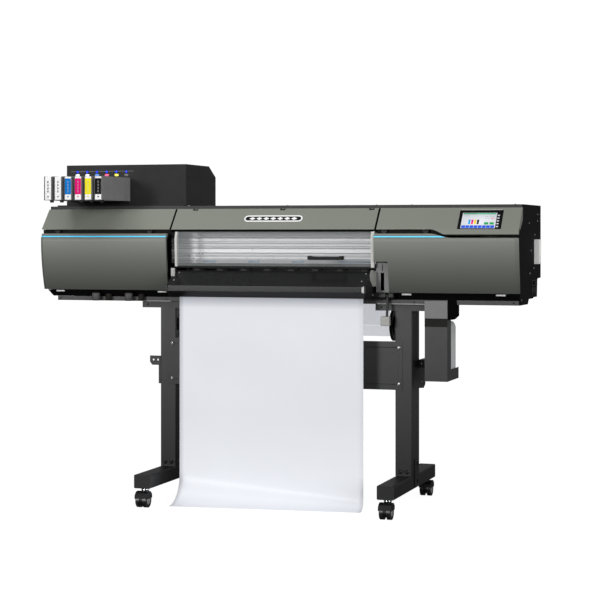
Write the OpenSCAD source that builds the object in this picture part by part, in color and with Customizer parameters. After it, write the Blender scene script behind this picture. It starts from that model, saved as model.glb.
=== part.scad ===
// Wide-format printer cutter on a caster stand.
// X runs to the operator's right, Y runs to the back and Z runs up, in millimetres.
// The origin is on the floor, in the middle of the machine's width and depth.

/* [Overall] */
// Height from the floor to the top of the ink cabinet
total_h = 1395; // [1385:1:1405]
// Width of the printer body between its two end faces
body_w = 2048; // [2040:2:2060]
// How far the vent block stands out of the right end face
vent_proud = 20; // [14:1:26]
// Depth from the front of the front casters to the back panel
total_d = 752; // [748:1:756]

/* [Stand] */
// Distance between the centres of the two legs
leg_pitch = 1011; // [1000:1:1020]
// Sideways position of the stand's centre
stand_x = 36; // [30:1:42]
// Width of the foot and leg tubes
leg_w = 69; // [66:1:72]
// Depth of a leg tube
leg_d = 125; // [115:1:130]
// Front face of the legs
leg_front = -78; // [-80:1:-76]
// Length of a foot
foot_l = 688; // [680:1:690]
// Height of a foot tube
foot_h = 55; // [50:1:60]
// Floor to the underside of a foot
foot_z = 77; // [76:1:80]
// Top of the legs, where their saddles start
leg_top = 793; // [785:1:800]
// Width of a leg's top saddle
saddle_w = 232; // [220:1:240]
// Wall of the stand's tubes
tube_t = 2.5; // [2:0.5:4]

/* [Casters] */
// Radius of a caster wheel
wheel_r = 30; // [28:1:31]
// Width of one of the twin wheels
wheel_w = 17; // [14:1:18]
// Distance from the swivel axis to the axle
caster_trail = 21; // [18:1:24]
// Distance from a foot's end to the swivel axis
stem_inset = 36; // [34:1:40]
// Radius of the swivel stem
stem_r = 5.45; // [5.42:0.01:5.48]

/* [Printer body] */
// Underside of the base rail, on top of the leg saddles
rail_z = 820; // [818:1:822]
// Height of the base rail
rail_h = 18; // [16:1:20]
// Lower edge of the doors
door_foot_z = 866; // [862:1:868]
// Height of the crease near the top of the doors
crease_z = 1081; // [1078:1:1084]
// Upper edge of the doors, below the groove
door_top_z = 1102; // [1100:1:1103]
// Lower edge of the sloped upper panels, above the groove
slope_foot_z = 1119; // [1118:1:1120]
// Upper edge of the sloped upper panels
slope_top_z = 1205; // [1200:1:1208]
// Top of the body
body_top = 1218; // [1216:1:1220]
// Front of the doors at the crease
crease_y = -132; // [-134:1:-130]
// Radius of the bulge of the doors, seen from the end
door_bulge_r = 690; // [640:10:900]
// Thickness of the moulded covers
skin_t = 3; // [2.5:0.5:3.5]
// Inner end of the left door
left_door_end = -460; // [-464:1:-456]
// Inner end of the right door
right_door_end = 431; // [429:1:433]
// Left edge of the front cover
cover_left = -446; // [-448:1:-444]
// Right edge of the front cover
cover_right = 433; // [432:1:434]

/* [Film path] */
// Width of the film
film_w = 782; // [700:1:790]
// Left edge of the film
film_x = -380; // [-384:1:-376]
// Thickness of the film's solid
film_t = 0.8; // [0.4:0.1:0.8]
// Top of the platen
platen_z = 938; // [937:1:939]
// Radius of the wound media roll
roll_r = 50; // [40:1:54]
// Radius of the grit roller
grit_r = 12; // [10:0.5:12]

/* [Ink] */
// Width of the ink cabinet
ink_w = 550; // [546:1:560]
// Distance from one ink tray to the next
tray_pitch = 45.3; // [44:0.1:46]
// Width of an ink tray
tray_w = 36; // [32:1:38]
// Height of an ink tray
tray_h = 99; // [90:1:100]
// Front of the ink trays
tray_front = -275; // [-280:1:-250]

/* [Hidden] */
$fn = 48;

// Clearances
gap = 1;
run_gap = 0.05;
seam = 4.5;

// Overall box
body_left = -(body_w + vent_proud) / 2;
body_right = body_left + body_w;
front_y = -total_d / 2;
back_y = total_d / 2;

// Stand
leg_x = [stand_x - leg_pitch / 2, stand_x + leg_pitch / 2];
leg_mid_y = leg_front + leg_d / 2;
foot_y = front_y + wheel_r + caster_trail - stem_inset;
foot_top = foot_z + foot_h;
stem_y = [foot_y + stem_inset, foot_y + foot_l - stem_inset];
panel_z = [476, 669];
panel_lap = 31;
panel_t = 2;
panel_screw_z = [500, 645];
panel_screw_x = [leg_x[0] + leg_w / 2 - panel_lap / 2, leg_x[1] - leg_w / 2 + panel_lap / 2];
screw_r = 3;
screw_hole_r = 3.2;
saddle_bolt_dx = 90;
axle_r = 4;
axle_bore_r = axle_r + run_gap;
stem_bore_r = stem_r + run_gap;
wheel_gap_half = 6;

// Body section, as [y, z] points
slope_top = [-38.6, slope_top_z];
slope_foot = [-114, slope_foot_z];
slope_run = slope_top - slope_foot;
slope_tilt = atan2(slope_run[1], slope_run[0]);
low_foot = [-129, 1099];
crease = [crease_y, crease_z];
door_top = [-122, door_top_z];
door_steps = 20;
side_t = 4;
door_pin = [-108, 1110];
door_pin_r = 2.5;
cover_pin = [-34, 1200];
cover_pin_r = 3;
tray_front_y = -86;
buffer_x = [-783, -634];
buffer_r = 16;
buffer_y = tray_front_y - 25;
tray_back_y = 225;
swoop_x = [655, 751];
right_groove_top = 1095;
right_groove_foot = 1085;
cutout_x = 488;
cutout_z = 990;

// Front cover
window_foot_z = 967;
window_t = 3;
frame_w = 13;
left_frame_w = 10;
frame_left = cover_left + 22;
frame_right = right_door_end - gap - frame_w;
cover_hinges_x = [-361, 21, 400];
left_door_hinges_x = [-960, -540];
right_door_hinges_x = [470, 640];

// Inner frames, platen and rollers
frame_x = [-424, 416];
frame_t = 6;
grit_axis = [-20, platen_z + 0.8 - grit_r];
grit_shaft_r = 6;
pinch_r = 8;
pinch_axis = [-20, platen_z + 2.2 + pinch_r];
arm_pivot = [34, 958];
arm_pivot_r = 5;
pinch_count = 8;
pinch_pitch = 104;
pinch_x0 = -364;
platen_t = 4;
front_bend = [-95, platen_z - 80];
front_bend_r = 80;
back_bend = [148, platen_z - 90];
back_bend_r = 90;
film_gap = 1.1;
curl_r = 100;
film_y = front_bend[0] - front_bend_r - film_gap - film_t;
roll_axis = [back_bend[0] + back_bend_r + film_gap + film_t + 0.6 + roll_r, 718];
spindle_r = 12.5;

// Carriages and their drive
rail_front = 20;
rail_back = 60;
guide_z = [978, 1108];
carriage_x = 720;
carriage_w = 220;
cutter_x = -740;
cutter_w = 100;
blade_y = -60;
blade_r = 8;
pulley_x = [body_left + 49, body_right - 49];
pulley_y = 24;
pulley_r = 12;
belt_z = [1114, 1124];
belt_t = 1.5;

// Loading lever
lever_x = 484;
lever_pin = [-108, 852];
lever_pin_r = 3;

// Ink cabinet
ink_left = -977;
ink_front = 15;
ink_base_t = 5;
tray_count = 6;
tray_right = -682;
tray_z = 1240;
pouch_w = 27;

// Drain bottle, under the right end
holder_x = [633, 725];
holder_y = [-98, 108];
holder_rim_z = 560;
bottle_mid = [681, 34];

// Turns a [y, z] outline into a solid from x0 to x1
module along_x(x0, x1) {
    translate([x0, 0, 0])
        rotate([90, 0, 90])
            linear_extrude(x1 - x0)
                children();
}

// Turns an [x, z] outline into a solid from y0 to y1
module along_y(y0, y1) {
    translate([0, y1, 0])
        rotate([90, 0, 0])
            linear_extrude(y1 - y0)
                children();
}

// Block between two opposite corners
module block(low, high) {
    translate(low)
        cube(high - low);
}

// Rod along X about a [y, z] axis
module rod_x(x0, x1, at, r) {
    translate([x0, at[0], at[1]])
        rotate([0, 90, 0])
            cylinder(h = x1 - x0, r = r);
}

// Rod along Y about an [x, z] axis
module rod_y(y0, y1, at, r) {
    translate([at[0], y1, at[1]])
        rotate([90, 0, 0])
            cylinder(h = y1 - y0, r = r);
}

// Rectangle with round corners, about its centre
module round_rect(w, h, r) {
    square([w - 2 * r, h], center = true);
    square([w, h - 2 * r], center = true);
    for (sx = [-1, 1], sy = [-1, 1])
        translate([sx * (w / 2 - r), sy * (h / 2 - r)])
            circle(r);
}

// Outline of a sheet of thickness t on the left side of a path, with mitred bends
function unit(v) = v / norm(v);
function left_normal(p, i) = let (d = unit(p[i + 1] - p[i])) [-d[1], d[0]];
function mitre(p, i) =
    let (a = left_normal(p, max(i - 1, 0)), b = left_normal(p, min(i, len(p) - 2)))
    (a + b) / (1 + a * b);
function bent_sheet(p, t) = concat(p, [for (i = [len(p) - 1:-1:0]) p[i] + t * mitre(p, i)]);

// Points on an arc about c from angle a0 to a1
function arc_points(c, r, a0, a1, n) =
    [for (i = [0:n]) let (a = a0 + (a1 - a0) * i / n) c + r * [cos(a), sin(a)]];

// Front of a door at height z: an arc that is upright at the crease
function door_y(z) =
    crease_y + door_bulge_r - sqrt(pow(door_bulge_r, 2) - pow(crease_z - z, 2));

// Face of a door from z0 down to its foot
function door_face(z0) =
    [for (i = [0:door_steps]) let (z = z0 + (door_foot_z - z0) * i / door_steps) [door_y(z), z]];

// Smooth step from 0 to 1 between the two ends of the swoop in the right groove
function swoop(x) =
    let (t = min(max((x - swoop_x[0]) / (swoop_x[1] - swoop_x[0]), 0), 1)) (1 - cos(180 * t)) / 2;
function swoop_edge(z0, z1) =
    [for (x = [swoop_x[0]:4:swoop_x[1]]) [x, z0 + (z1 - z0) * swoop(x)]];

// Screw with a domed head facing the front
module front_screw(x, y, z) {
    rod_y(y - 3, y, [x, z], 2 * screw_r);
    rod_y(y - 0.5, y + 12, [x, z], screw_r);
}

// ---------------------------------------------------------------- stand

module foot(x) {
    color([0.25, 0.25, 0.26])
    difference() {
        along_y(foot_y, foot_y + foot_l)
            translate([x, foot_z + foot_h / 2])
                round_rect(leg_w, foot_h, 5);
        along_y(foot_y + tube_t, foot_y + foot_l - tube_t)
            translate([x, foot_z + foot_h / 2])
                round_rect(leg_w - 2 * tube_t, foot_h - 2 * tube_t, 3);
        for (y = stem_y)
            translate([x, y, foot_z - 1])
                cylinder(h = tube_t + 2, r = stem_bore_r);
    }
}

module leg(x, side) {
    color([0.27, 0.27, 0.28])
    difference() {
        union() {
            translate([x, leg_mid_y, foot_top])
                linear_extrude(leg_top - foot_top)
                    round_rect(leg_w, leg_d, 4);
            saddle(x);
        }
        translate([x, leg_mid_y, foot_top - 1])
            linear_extrude(leg_top - foot_top + 2)
                round_rect(leg_w - 2 * tube_t, leg_d - 2 * tube_t, 2);
        for (z = panel_screw_z)
            rod_y(leg_front - 1, leg_front + 8, [x - side * (leg_w - panel_lap) / 2, z],
                screw_hole_r);
        for (z = [300, 410])
            rod_x(x + side * leg_w / 2 - 4, x + side * leg_w / 2 + 4, [leg_mid_y + 20, z], 4);
    }
}

// Channel welded on a leg's top, which carries the base rail
module saddle(x) {
    difference() {
        block([x - saddle_w / 2, leg_front, leg_top],
            [x + saddle_w / 2, leg_front + leg_d, rail_z]);
        block([x - saddle_w / 2 + 4, leg_front + 4, leg_top - 1],
            [x + saddle_w / 2 - 4, leg_front + leg_d - 4, rail_z - 4]);
        for (s = [-1, 1]) {
            rod_y(leg_front - 1, leg_front + 5, [x + s * 92, leg_top + 12], 3);
            translate([x + s * saddle_bolt_dx, leg_mid_y, rail_z - 5])
                cylinder(h = 6, r = 4.5);
        }
    }
}

module cross_panel() {
    inner = [leg_x[0] + leg_w / 2 + gap, leg_x[1] - leg_w / 2 - gap];
    outer = [leg_x[0] + leg_w / 2 - panel_lap, leg_x[1] - leg_w / 2 + panel_lap];
    color([0.2, 0.2, 0.21])
    difference() {
        union() {
            block([outer[0], leg_front - panel_t, panel_z[0]], [outer[1], leg_front, panel_z[1]]);
            for (z = [panel_z[0], panel_z[1] - panel_t])
                block([inner[0], leg_front - panel_t, z], [inner[1], leg_front + 22, z + panel_t]);
        }
        for (x = panel_screw_x, z = panel_screw_z)
            rod_y(leg_front - panel_t - 1, leg_front + 1, [x, z], screw_hole_r);
    }
}

module stand_fittings() {
    plate_y = leg_front + 40;
    color([0.12, 0.12, 0.12]) {
        for (x = panel_screw_x, z = panel_screw_z)
            front_screw(x, leg_front - panel_t, z);
        // Plates that tie each leg to its foot
        for (i = [0, 1]) {
            s = 2 * i - 1;
            x = leg_x[i] + s * leg_w / 2;
            difference() {
                block([min(x, x + s * 3), plate_y, foot_z + 8],
                    [max(x, x + s * 3), plate_y + 62, 196]);
                rod_x(x - 5, x + 5, [plate_y + 20, 160], 3.5);
            }
            rod_x(min(x, x + s * 7), max(x, x + s * 7), [plate_y + 42, foot_z + 27], 6);
            rod_x(min(x, x + s * 7), max(x, x + s * 7), [plate_y + 42, 174], 6);
        }
        left_hook();
        right_bracket();
    }
}

// Hook on the left leg's outer side, for the loose leads of accessories
module left_hook() {
    x = leg_x[0] - leg_w / 2;
    difference() {
        along_y(leg_front, leg_front + 3)
            polygon([[x, 592], [x - 48, 592], [x - 48, 566], [x - 38, 553], [x, 553]]);
        for (dx = [12, 32])
            rod_y(leg_front - 1, leg_front + 4, [x - dx, 575], 4);
    }
    block([x - 10, leg_front + 3, 476], [x, leg_front + 30, 590]);
}

// Bracket between the right leg and the drain bottle holder
module right_bracket() {
    x = leg_x[1] + leg_w / 2;
    along_x(x, x + 3)
        polygon([[-60, 484], [110, 470], [138, 484], [143, 578], [-60, 578]]);
    block([x + 3, 20, 560], [holder_x[0], 110, 592]);
}

// ---------------------------------------------------------------- casters

// Casters 1 and 2 are on the left foot, 3 and 4 on the right; odd ones are at the front
function caster_x(i) = leg_x[floor((i - 1) / 2)];
function caster_end(i) = (i % 2 == 1) ? -1 : 1;
function caster_stem_y(i) = stem_y[(i + 1) % 2];
function caster_axle_y(i) = caster_stem_y(i) + caster_end(i) * caster_trail;

module caster_fork(i) {
    x = caster_x(i);
    axle = [caster_axle_y(i), wheel_r];
    hood_half = wheel_gap_half + wheel_w + 3;
    color([0.07, 0.07, 0.07])
    difference() {
        union() {
            translate([x, caster_stem_y(i), foot_z - 0.3 - 14])
                cylinder(h = 14, r = 15);
            translate([x, caster_stem_y(i), foot_z - 1])
                cylinder(h = 16, r = stem_r);
            intersection() {
                rod_x(x - hood_half, x + hood_half, axle, wheel_r + 6);
                block([x - 40, axle[0] - wheel_r, wheel_r + 6],
                    [x + 40, axle[0] + wheel_r, foot_z - 4]);
            }
            intersection() {
                rod_x(x - wheel_gap_half + 1, x + wheel_gap_half - 1, axle, wheel_r - 4);
                block([x - 40, axle[0] - wheel_r, 12], [x + 40, axle[0] + wheel_r, foot_z - 4]);
            }
            block([x - wheel_gap_half + 1, axle[0] - 14, wheel_r],
                [x + wheel_gap_half - 1, axle[0] + 14, 62]);
            rod_x(x - hood_half + 4, x + hood_half - 4, axle, axle_r);
        }
        for (s = [-1, 1])
            rod_x(min(x + s * (wheel_gap_half - 0.5), x + s * (hood_half - 2)),
                max(x + s * (wheel_gap_half - 0.5), x + s * (hood_half - 2)), axle, wheel_r + 2.5);
    }
    color([0.6, 0.6, 0.6])
        rod_x(x - hood_half + 4, x + hood_half - 4, axle, axle_r);
}

module caster_wheels(i) {
    x = caster_x(i);
    axle = [caster_axle_y(i), wheel_r];
    color([0.1, 0.1, 0.1])
    for (s = [-1, 1]) {
        x_in = x + s * wheel_gap_half;
        x_out = x + s * (wheel_gap_half + wheel_w);
        difference() {
            rod_x(min(x_in, x_out), max(x_in, x_out), axle, wheel_r);
            rod_x(min(x_in, x_out) - 1, max(x_in, x_out) + 1, axle, axle_bore_r);
            rod_x(min(x_out - s * 4, x_out + s), max(x_out - s * 4, x_out + s), axle, wheel_r - 8);
        }
    }
}

// ---------------------------------------------------------------- body shell

module base_rail() {
    rail_top = rail_z + rail_h;
    color([0.35, 0.35, 0.35])
    difference() {
        along_x(body_left + 67, body_right - side_t)
            polygon(bent_sheet([[80, rail_top], [80, rail_z], [-94, rail_z], [-94, rail_top]], -3));
        for (x = leg_x, s = [-1, 1])
            translate([x + s * saddle_bolt_dx, leg_mid_y, rail_z - 1])
                cylinder(h = 5, r = 4.5);
    }
}

// Black pan under the mechanism, with its left end cut back and rubber buffers on its front
module under_tray() {
    floor_z = rail_z + rail_h;
    color([0.06, 0.06, 0.06]) {
        difference() {
            along_x(body_left + side_t, body_right - side_t)
                polygon(bent_sheet([[tray_back_y, door_foot_z], [tray_back_y, floor_z],
                    [tray_front_y, floor_z], [tray_front_y, door_foot_z - 2]], -3));
            along_y(tray_front_y - 1, tray_back_y + 1)
                polygon([[body_left, floor_z - 1], [body_left + 44, floor_z - 1],
                    [body_left + 14, door_foot_z + 1], [body_left, door_foot_z + 1]]);
            for (x = frame_x)
                block([x - 0.5, tray_front_y - 1, floor_z + 3],
                    [x + frame_t + 0.5, tray_back_y + 1, door_foot_z + 1]);
            block([body_right - 28, 160, floor_z + 10], [body_right, 250, door_foot_z + 1]);
        }
        for (x = buffer_x) {
            translate([x, buffer_y, rail_z + 1])
                cylinder(h = 32, r = buffer_r);
            block([x - 12, buffer_y, rail_z + 32], [x + 12, tray_front_y, rail_z + 42]);
        }
    }
}

// Outline shared by both end panels, whose front edge stands back from the end of a door
function side_outline(setback, foot) = concat(
    [[-24, body_top], [-24, slope_top_z - skin_t - 0.2], [-30.6, 1158], crease + [setback, 0],
        [door_y(door_foot_z) + 15.5, door_foot_z]],
    foot,
    [[288, 842.5], [297, 916], [back_y, 919], [back_y, body_top]]);

module left_side_panel() {
    color([0.08, 0.08, 0.08])
        along_x(body_left, body_left + side_t)
            polygon(side_outline(26.5, []));
}

module right_side_panel() {
    foot = [[-87, rail_z], [80, rail_z - 1], [107, 842.5]];
    color([0.08, 0.08, 0.08])
    difference() {
        along_x(body_right - side_t, body_right)
            polygon(side_outline(16.5, foot));
        block([body_right - side_t - 1, 165, 889], [body_right + 1, 245, 914]);
        block([body_right - side_t - 1, 165, 860], [body_right + 1, 245, 884]);
    }
}

module rear_panel() {
    side_path = [[tray_back_y + gap, 842.5], [288, 842.5], [297, 916], [back_y, 919],
        [back_y, body_top - skin_t]];
    centre_path = [[back_y - 20, 919], [back_y, 919], [back_y, body_top - skin_t]];
    color([0.1, 0.1, 0.1]) {
        along_x(body_left + side_t, frame_x[0])
            polygon(bent_sheet(side_path, 2));
        along_x(frame_x[0], frame_x[1] + frame_t)
            polygon(bent_sheet(centre_path, 2));
        along_x(frame_x[1] + frame_t, body_right - side_t)
            polygon(bent_sheet(side_path, 2));
    }
}

// Fixed half of a hinge: two ears and the pin between them
module hinge_ears(x, pin, r, ear) {
    rod_x(x - 10, x + 10, pin, r);
    for (x0 = [x - 10, x + 5.5])
        along_x(x0, x0 + 4.5)
            polygon([for (p = ear) pin + p]);
}

module top_panel() {
    cover_ear = [[-3.5, -3.5], [3.5, -3.5], [12, 0], [12, 8], [3, 3.5], [-3.5, 3.5]];
    color([0.12, 0.12, 0.12]) {
        along_x(body_left + side_t, body_right - side_t)
            polygon(bent_sheet([[back_y, body_top], [-24, body_top], [-24, 1196]], skin_t));
        for (x = cover_hinges_x)
            hinge_ears(x, cover_pin, cover_pin_r, cover_ear);
    }
}

door_ear = [[-4, -4], [4, -4], [4, 9.4], [-4, 9.4]];
upper_path = [[-27, slope_top_z], slope_top, slope_foot, [-94, slope_foot_z]];
upper_end = [slope_top, slope_foot, [-94, slope_foot_z], [-30.6, 1158], [-30.6, slope_top_z]];

module left_upper_panel() {
    color([0.55, 0.56, 0.52]) {
        along_x(body_left, cover_left - seam)
            polygon(bent_sheet(upper_path, skin_t));
        for (x = [body_left, cover_left - seam - skin_t])
            along_x(x, x + skin_t)
                polygon(upper_end);
        for (x = left_door_hinges_x)
            hinge_ears(x, door_pin, door_pin_r, door_ear);
    }
}

// The right panel reaches further down beside the screen, past a swoop in its lower edge
module right_upper_panel() {
    low_path = [[-27, slope_top_z], slope_top, slope_foot, low_foot, low_foot + [14, -4]];
    low_end = [slope_top, slope_foot, low_foot, low_foot + [14, -4], [-30.6, 1158],
        [-30.6, slope_top_z]];
    cut_top = slope_foot_z - 0.01;
    swoop_cut = concat([[cover_right - 1, cut_top]], swoop_edge(cut_top, right_groove_top - 5),
        [[swoop_x[1], 1060], [cover_right - 1, 1060]]);
    color([0.55, 0.56, 0.52]) {
        difference() {
            along_x(cover_right + seam, body_right)
                polygon(bent_sheet(low_path, skin_t));
            along_y(-160, -60)
                polygon(swoop_cut);
            screen_block(1, -10, 10);
        }
        along_x(cover_right + seam, swoop_x[0] - 4)
            polygon(bent_sheet([slope_foot + [0.5, 0], [-94, slope_foot_z]], skin_t));
        along_x(cover_right + seam, cover_right + seam + skin_t)
            polygon(upper_end);
        along_x(body_right - skin_t, body_right)
            polygon(low_end);
        for (x = right_door_hinges_x)
            hinge_ears(x, door_pin, door_pin_r, door_ear);
    }
}

// ---------------------------------------------------------------- doors

// Moving half of a hinge: a bored knuckle on an arm
module hinge_knuckle(x, pin, r, arm) {
    difference() {
        along_x(x - 5, x + 5)
            union() {
                translate(pin)
                    circle(2 * r);
                polygon([for (p = arm) pin + p]);
            }
        rod_x(x - 6, x + 6, pin, r + run_gap);
    }
}

door_arm = [[-5, 0], [5, 0], [5, -10], [-5, -10]];
door_return = [door_y(door_foot_z) + 8, door_foot_z];

// Outer end of a door: the face turns back towards the end panel in a narrow bevel
module door_end(x_face, x_end, path) {
    bevel = 13;
    slice = 0.1;
    x_outer = x_end > x_face ? x_end - slice : x_end;
    hull() {
        along_x(x_face, x_face + slice)
            polygon(bent_sheet(path, bevel));
        along_x(x_outer, x_outer + slice)
            polygon([for (p = bent_sheet(path, 1)) p + [bevel - 1, 0]]);
    }
}

module left_door() {
    path = concat([[-105, door_top_z], door_top], door_face(crease_z), [door_return]);
    face = concat([door_top], door_face(crease_z));
    color([0.36, 0.37, 0.35]) {
        along_x(body_left + 14, left_door_end)
            polygon(bent_sheet(path, skin_t));
        along_x(left_door_end - skin_t, left_door_end)
            polygon(bent_sheet(path, 13));
        door_end(body_left + 14, body_left, face);
        for (x = left_door_hinges_x)
            hinge_knuckle(x, door_pin, door_pin_r, door_arm);
    }
}

module right_door() {
    path = concat([[-105, door_top_z], door_top], door_face(crease_z), [door_return]);
    top_cut = concat([[swoop_x[0] - 8, 1130], [swoop_x[0] - 8, door_top_z + 0.01]],
        swoop_edge(door_top_z + 0.01, right_groove_foot),
        [[body_right + 1, right_groove_foot], [body_right + 1, 1130]]);
    low_face = concat([[-130.1, right_groove_foot]], door_face(crease_z));
    color([0.36, 0.37, 0.35]) {
        difference() {
            along_x(right_door_end, body_right - 14)
                polygon(bent_sheet(path, skin_t));
            along_y(-140, -90)
                polygon(top_cut);
            block([right_door_end - 1, -140, door_foot_z - 1], [cutout_x, -80, cutout_z]);
        }
        difference() {
            along_x(right_door_end, right_door_end + skin_t)
                polygon(bent_sheet(path, 13));
            block([right_door_end - 1, -140, door_foot_z - 1], [cutout_x, -80, cutout_z]);
        }
        intersection() {
            along_x(cutout_x, cutout_x + skin_t)
                polygon(bent_sheet(path, 13));
            block([cutout_x - 1, -140, door_foot_z - 1], [cutout_x + 9, -80, cutout_z + skin_t]);
        }
        door_end(body_right - 14, body_right, low_face);
        for (x = right_door_hinges_x)
            hinge_knuckle(x, door_pin, door_pin_r, door_arm);
    }
}

// ---------------------------------------------------------------- front cover

module front_cover() {
    cover_arm = [[-4.5, -3.5], [3, -4.5], [3, 0], [-4.5, 3]];
    color([0.58, 0.59, 0.55]) {
        difference() {
            along_x(cover_left, cover_right)
                polygon(bent_sheet([slope_top, slope_foot, [-108, 1113]], skin_t));
            for (x = cover_hinges_x)
                block([x - 11, -45, 1196], [x + 11, -20, slope_top_z + 1]);
        }
        for (x = cover_hinges_x) {
            difference() {
                union() {
                    rod_x(x - 5, x + 5, cover_pin, 5.5);
                    along_x(x - 5, x + 5)
                        polygon([[-38, 1203], [-30, 1195.5], [-46, 1188], [-48, 1194]]);
                }
                rod_x(x - 6, x + 6, cover_pin, cover_pin_r + run_gap);
            }
        }
    }
}

module cover_window() {
    color([0.85, 0.9, 0.92, 0.3])
    difference() {
        block([frame_left + left_frame_w, -114, window_foot_z], [frame_right, -114 + window_t, 1113]);
        for (x = [163, 296])
            rod_y(-115, -110, [x, 1003], 3.2);
    }
}

module cover_frame() {
    outline = [[-104, 1111.5], [-114, 1111.5], [-124, crease_z],
        [-119, window_foot_z - 2], [-104, window_foot_z - 2]];
    color([0.72, 0.72, 0.7])
        for (span = [[frame_left, left_frame_w], [frame_right, frame_w]])
            along_x(span[0], span[0] + span[1])
                polygon(outline);
}

module cover_handle() {
    ends = [163, 296];
    color([0.05, 0.05, 0.05]) {
        for (x = ends) {
            rod_y(-134, -114, [x, 1003], 7);
            rod_y(-114, -107, [x, 1003], screw_r);
            rod_y(-111, -107, [x, 1003], 6);
        }
        rod_x(ends[0], ends[1], [-134, 1003], 7);
        for (x = ends)
            translate([x, -134, 1003])
                sphere(7);
    }
}

// ---------------------------------------------------------------- mechanism

// Two upright plates between the doors' bays and the film's path
module inner_frames() {
    outline = [[-216, door_foot_z], [-216, 890], [-150, 930], [-128, 955], [-113, 957],
        [-112, 938], [8, 938], [14, 975], [62, 975], [72, 940], [250, 940], [286, 915],
        [284, 843], [tray_back_y, 841], [-172, 841]];
    color([0.07, 0.07, 0.07]) {
        for (x = frame_x)
            difference() {
                along_x(x, x + frame_t)
                    polygon(outline);
                rod_x(x - 1, x + frame_t + 1, grit_axis, grit_shaft_r + run_gap);
                rod_x(x - 1, x + frame_t + 1, arm_pivot, arm_pivot_r + run_gap);
            }
        lever_bracket();
    }
}

// Fork that the loading lever turns in
module lever_bracket() {
    x0 = frame_x[1] + frame_t;
    difference() {
        along_x(x0, 508)
            polygon([[-118, 848], [-118, 862], [-112, 865], [-90, 865], [-90, 841],
                [-98, 838.5], [-108, 838.5]]);
        block([lever_x - 6.5, -119, 837], [lever_x + 6.5, -96, 866]);
    }
    rod_x(lever_x - 8, lever_x + 8, lever_pin, lever_pin_r);
}

module platen() {
    path = concat([[front_bend[0] - front_bend_r, 844]],
        arc_points(front_bend, front_bend_r, 180, 90, 12), arc_points(back_bend, back_bend_r, 90, 0, 12));
    x0 = frame_x[0] + frame_t;
    color([0.3, 0.3, 0.31])
    difference() {
        union() {
            along_x(x0, frame_x[1])
                polygon(bent_sheet(path, -platen_t));
            block([x0, -42, platen_z - 28], [frame_x[1], 2, platen_z - 2]);
        }
        rod_x(x0 - 1, frame_x[1] + 1, grit_axis, grit_r + 2);
    }
}

// Hollow aluminium beam that carries both carriages
module guide_rail() {
    front = [[20, 978], [20, 1018], [24, 1023], [24, 1040], [20, 1044], [20, 1062],
        [22.5, 1064], [22.5, 1067], [20, 1069], [20, 1082], [28, 1085], [28, 1108]];
    color([0.8, 0.81, 0.82])
    difference() {
        along_x(body_left + side_t, body_right - side_t)
            polygon(concat(front, [[rail_back, guide_z[1]], [rail_back, guide_z[0]]]));
        along_x(body_left, body_right)
            polygon([[32, 984], [32, 1102], [55, 1102], [55, 984]]);
    }
}

module grit_roller() {
    bands = 9;
    color([0.55, 0.55, 0.56])
    union() {
        rod_x(frame_x[0] - 10, frame_x[1] + frame_t + 6, grit_axis, grit_shaft_r);
        for (i = [0:bands - 1]) {
            x = pinch_x0 + (i - 0.5) * pinch_pitch * (pinch_count - 1) / (bands - 2);
            if (x > frame_x[0] + 40 && x < frame_x[1] - 40)
                rod_x(x - 36, x + 36, grit_axis, grit_r - 0.8);
        }
        for (i = [0:pinch_count - 1])
            rod_x(pinch_x0 + i * pinch_pitch - 20, pinch_x0 + i * pinch_pitch + 20, grit_axis, grit_r);
        rod_x(frame_x[0] + frame_t + 4, frame_x[1] - 4, grit_axis, grit_r - 2);
    }
}

module pinch_arms() {
    across = left_normal([arm_pivot, pinch_axis], 0);
    arm_web = [arm_pivot + 9 * across, arm_pivot - 9 * across,
        pinch_axis - 6 * across, pinch_axis + 6 * across];
    color([0.12, 0.12, 0.13])
    union() {
        rod_x(frame_x[0] - 4, frame_x[1] + frame_t + 4, arm_pivot, arm_pivot_r);
        for (i = [0:pinch_count - 1]) {
            x = pinch_x0 + i * pinch_pitch;
            for (s = [-1, 1])
                difference() {
                    union() {
                        rod_x(x + s * 14 - 2, x + s * 14 + 2, arm_pivot, 9);
                        rod_x(x + s * 14 - 2, x + s * 14 + 2, pinch_axis, 6);
                        along_x(x + s * 14 - 2, x + s * 14 + 2)
                            polygon(arm_web);
                    }
                    rod_x(x + s * 14 - 3, x + s * 14 + 3, pinch_axis, 2.5 + run_gap);
                }
            along_x(x - 16, x + 16)
                polygon([[8, 962], [12, 970], [24, 967], [20, 955]]);
        }
    }
}

module pinch_rollers() {
    color([0.16, 0.16, 0.16])
        for (i = [0:pinch_count - 1]) {
            x = pinch_x0 + i * pinch_pitch;
            rod_x(x - 11.5, x + 11.5, pinch_axis, pinch_r);
            rod_x(x - 18, x + 18, pinch_axis, 2.5);
        }
}

// Body shared by the two carriages: it hangs on the front of the guide rail
module carriage_body(x, w) {
    along_x(x - w / 2, x + w / 2)
        polygon([[-92, 985], [-92, 1060], [-70, 1085], [10, 1085], [10, 1100], [16, 1100],
            [27, 1104.5], [27.5, 1086.5], [19, 1083], [19, 985]]);
}

module print_carriage() {
    color([0.16, 0.16, 0.17])
    difference() {
        union() {
            carriage_body(carriage_x, carriage_w);
            block([carriage_x - 60, -88, platen_z + 5], [carriage_x + 60, -46, 986]);
            block([carriage_x - 20, -10, 1084], [carriage_x + 20, 4, 1122]);
        }
        for (i = [0:5])
            block([carriage_x - 96 + i * 33, -80, 1040], [carriage_x - 96 + i * 33 + 26, -20, 1086]);
    }
}

module cutting_carriage() {
    color([0.2, 0.2, 0.21])
    difference() {
        union() {
            carriage_body(cutter_x, cutter_w);
            block([cutter_x - 24, -84, 965], [cutter_x + 24, -36, 986]);
        }
        translate([cutter_x, blade_y, 960])
            cylinder(h = 80, r = blade_r + run_gap);
        translate([cutter_x, blade_y, 1030])
            cylinder(h = 60, r = blade_r + 4);
    }
}

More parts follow.
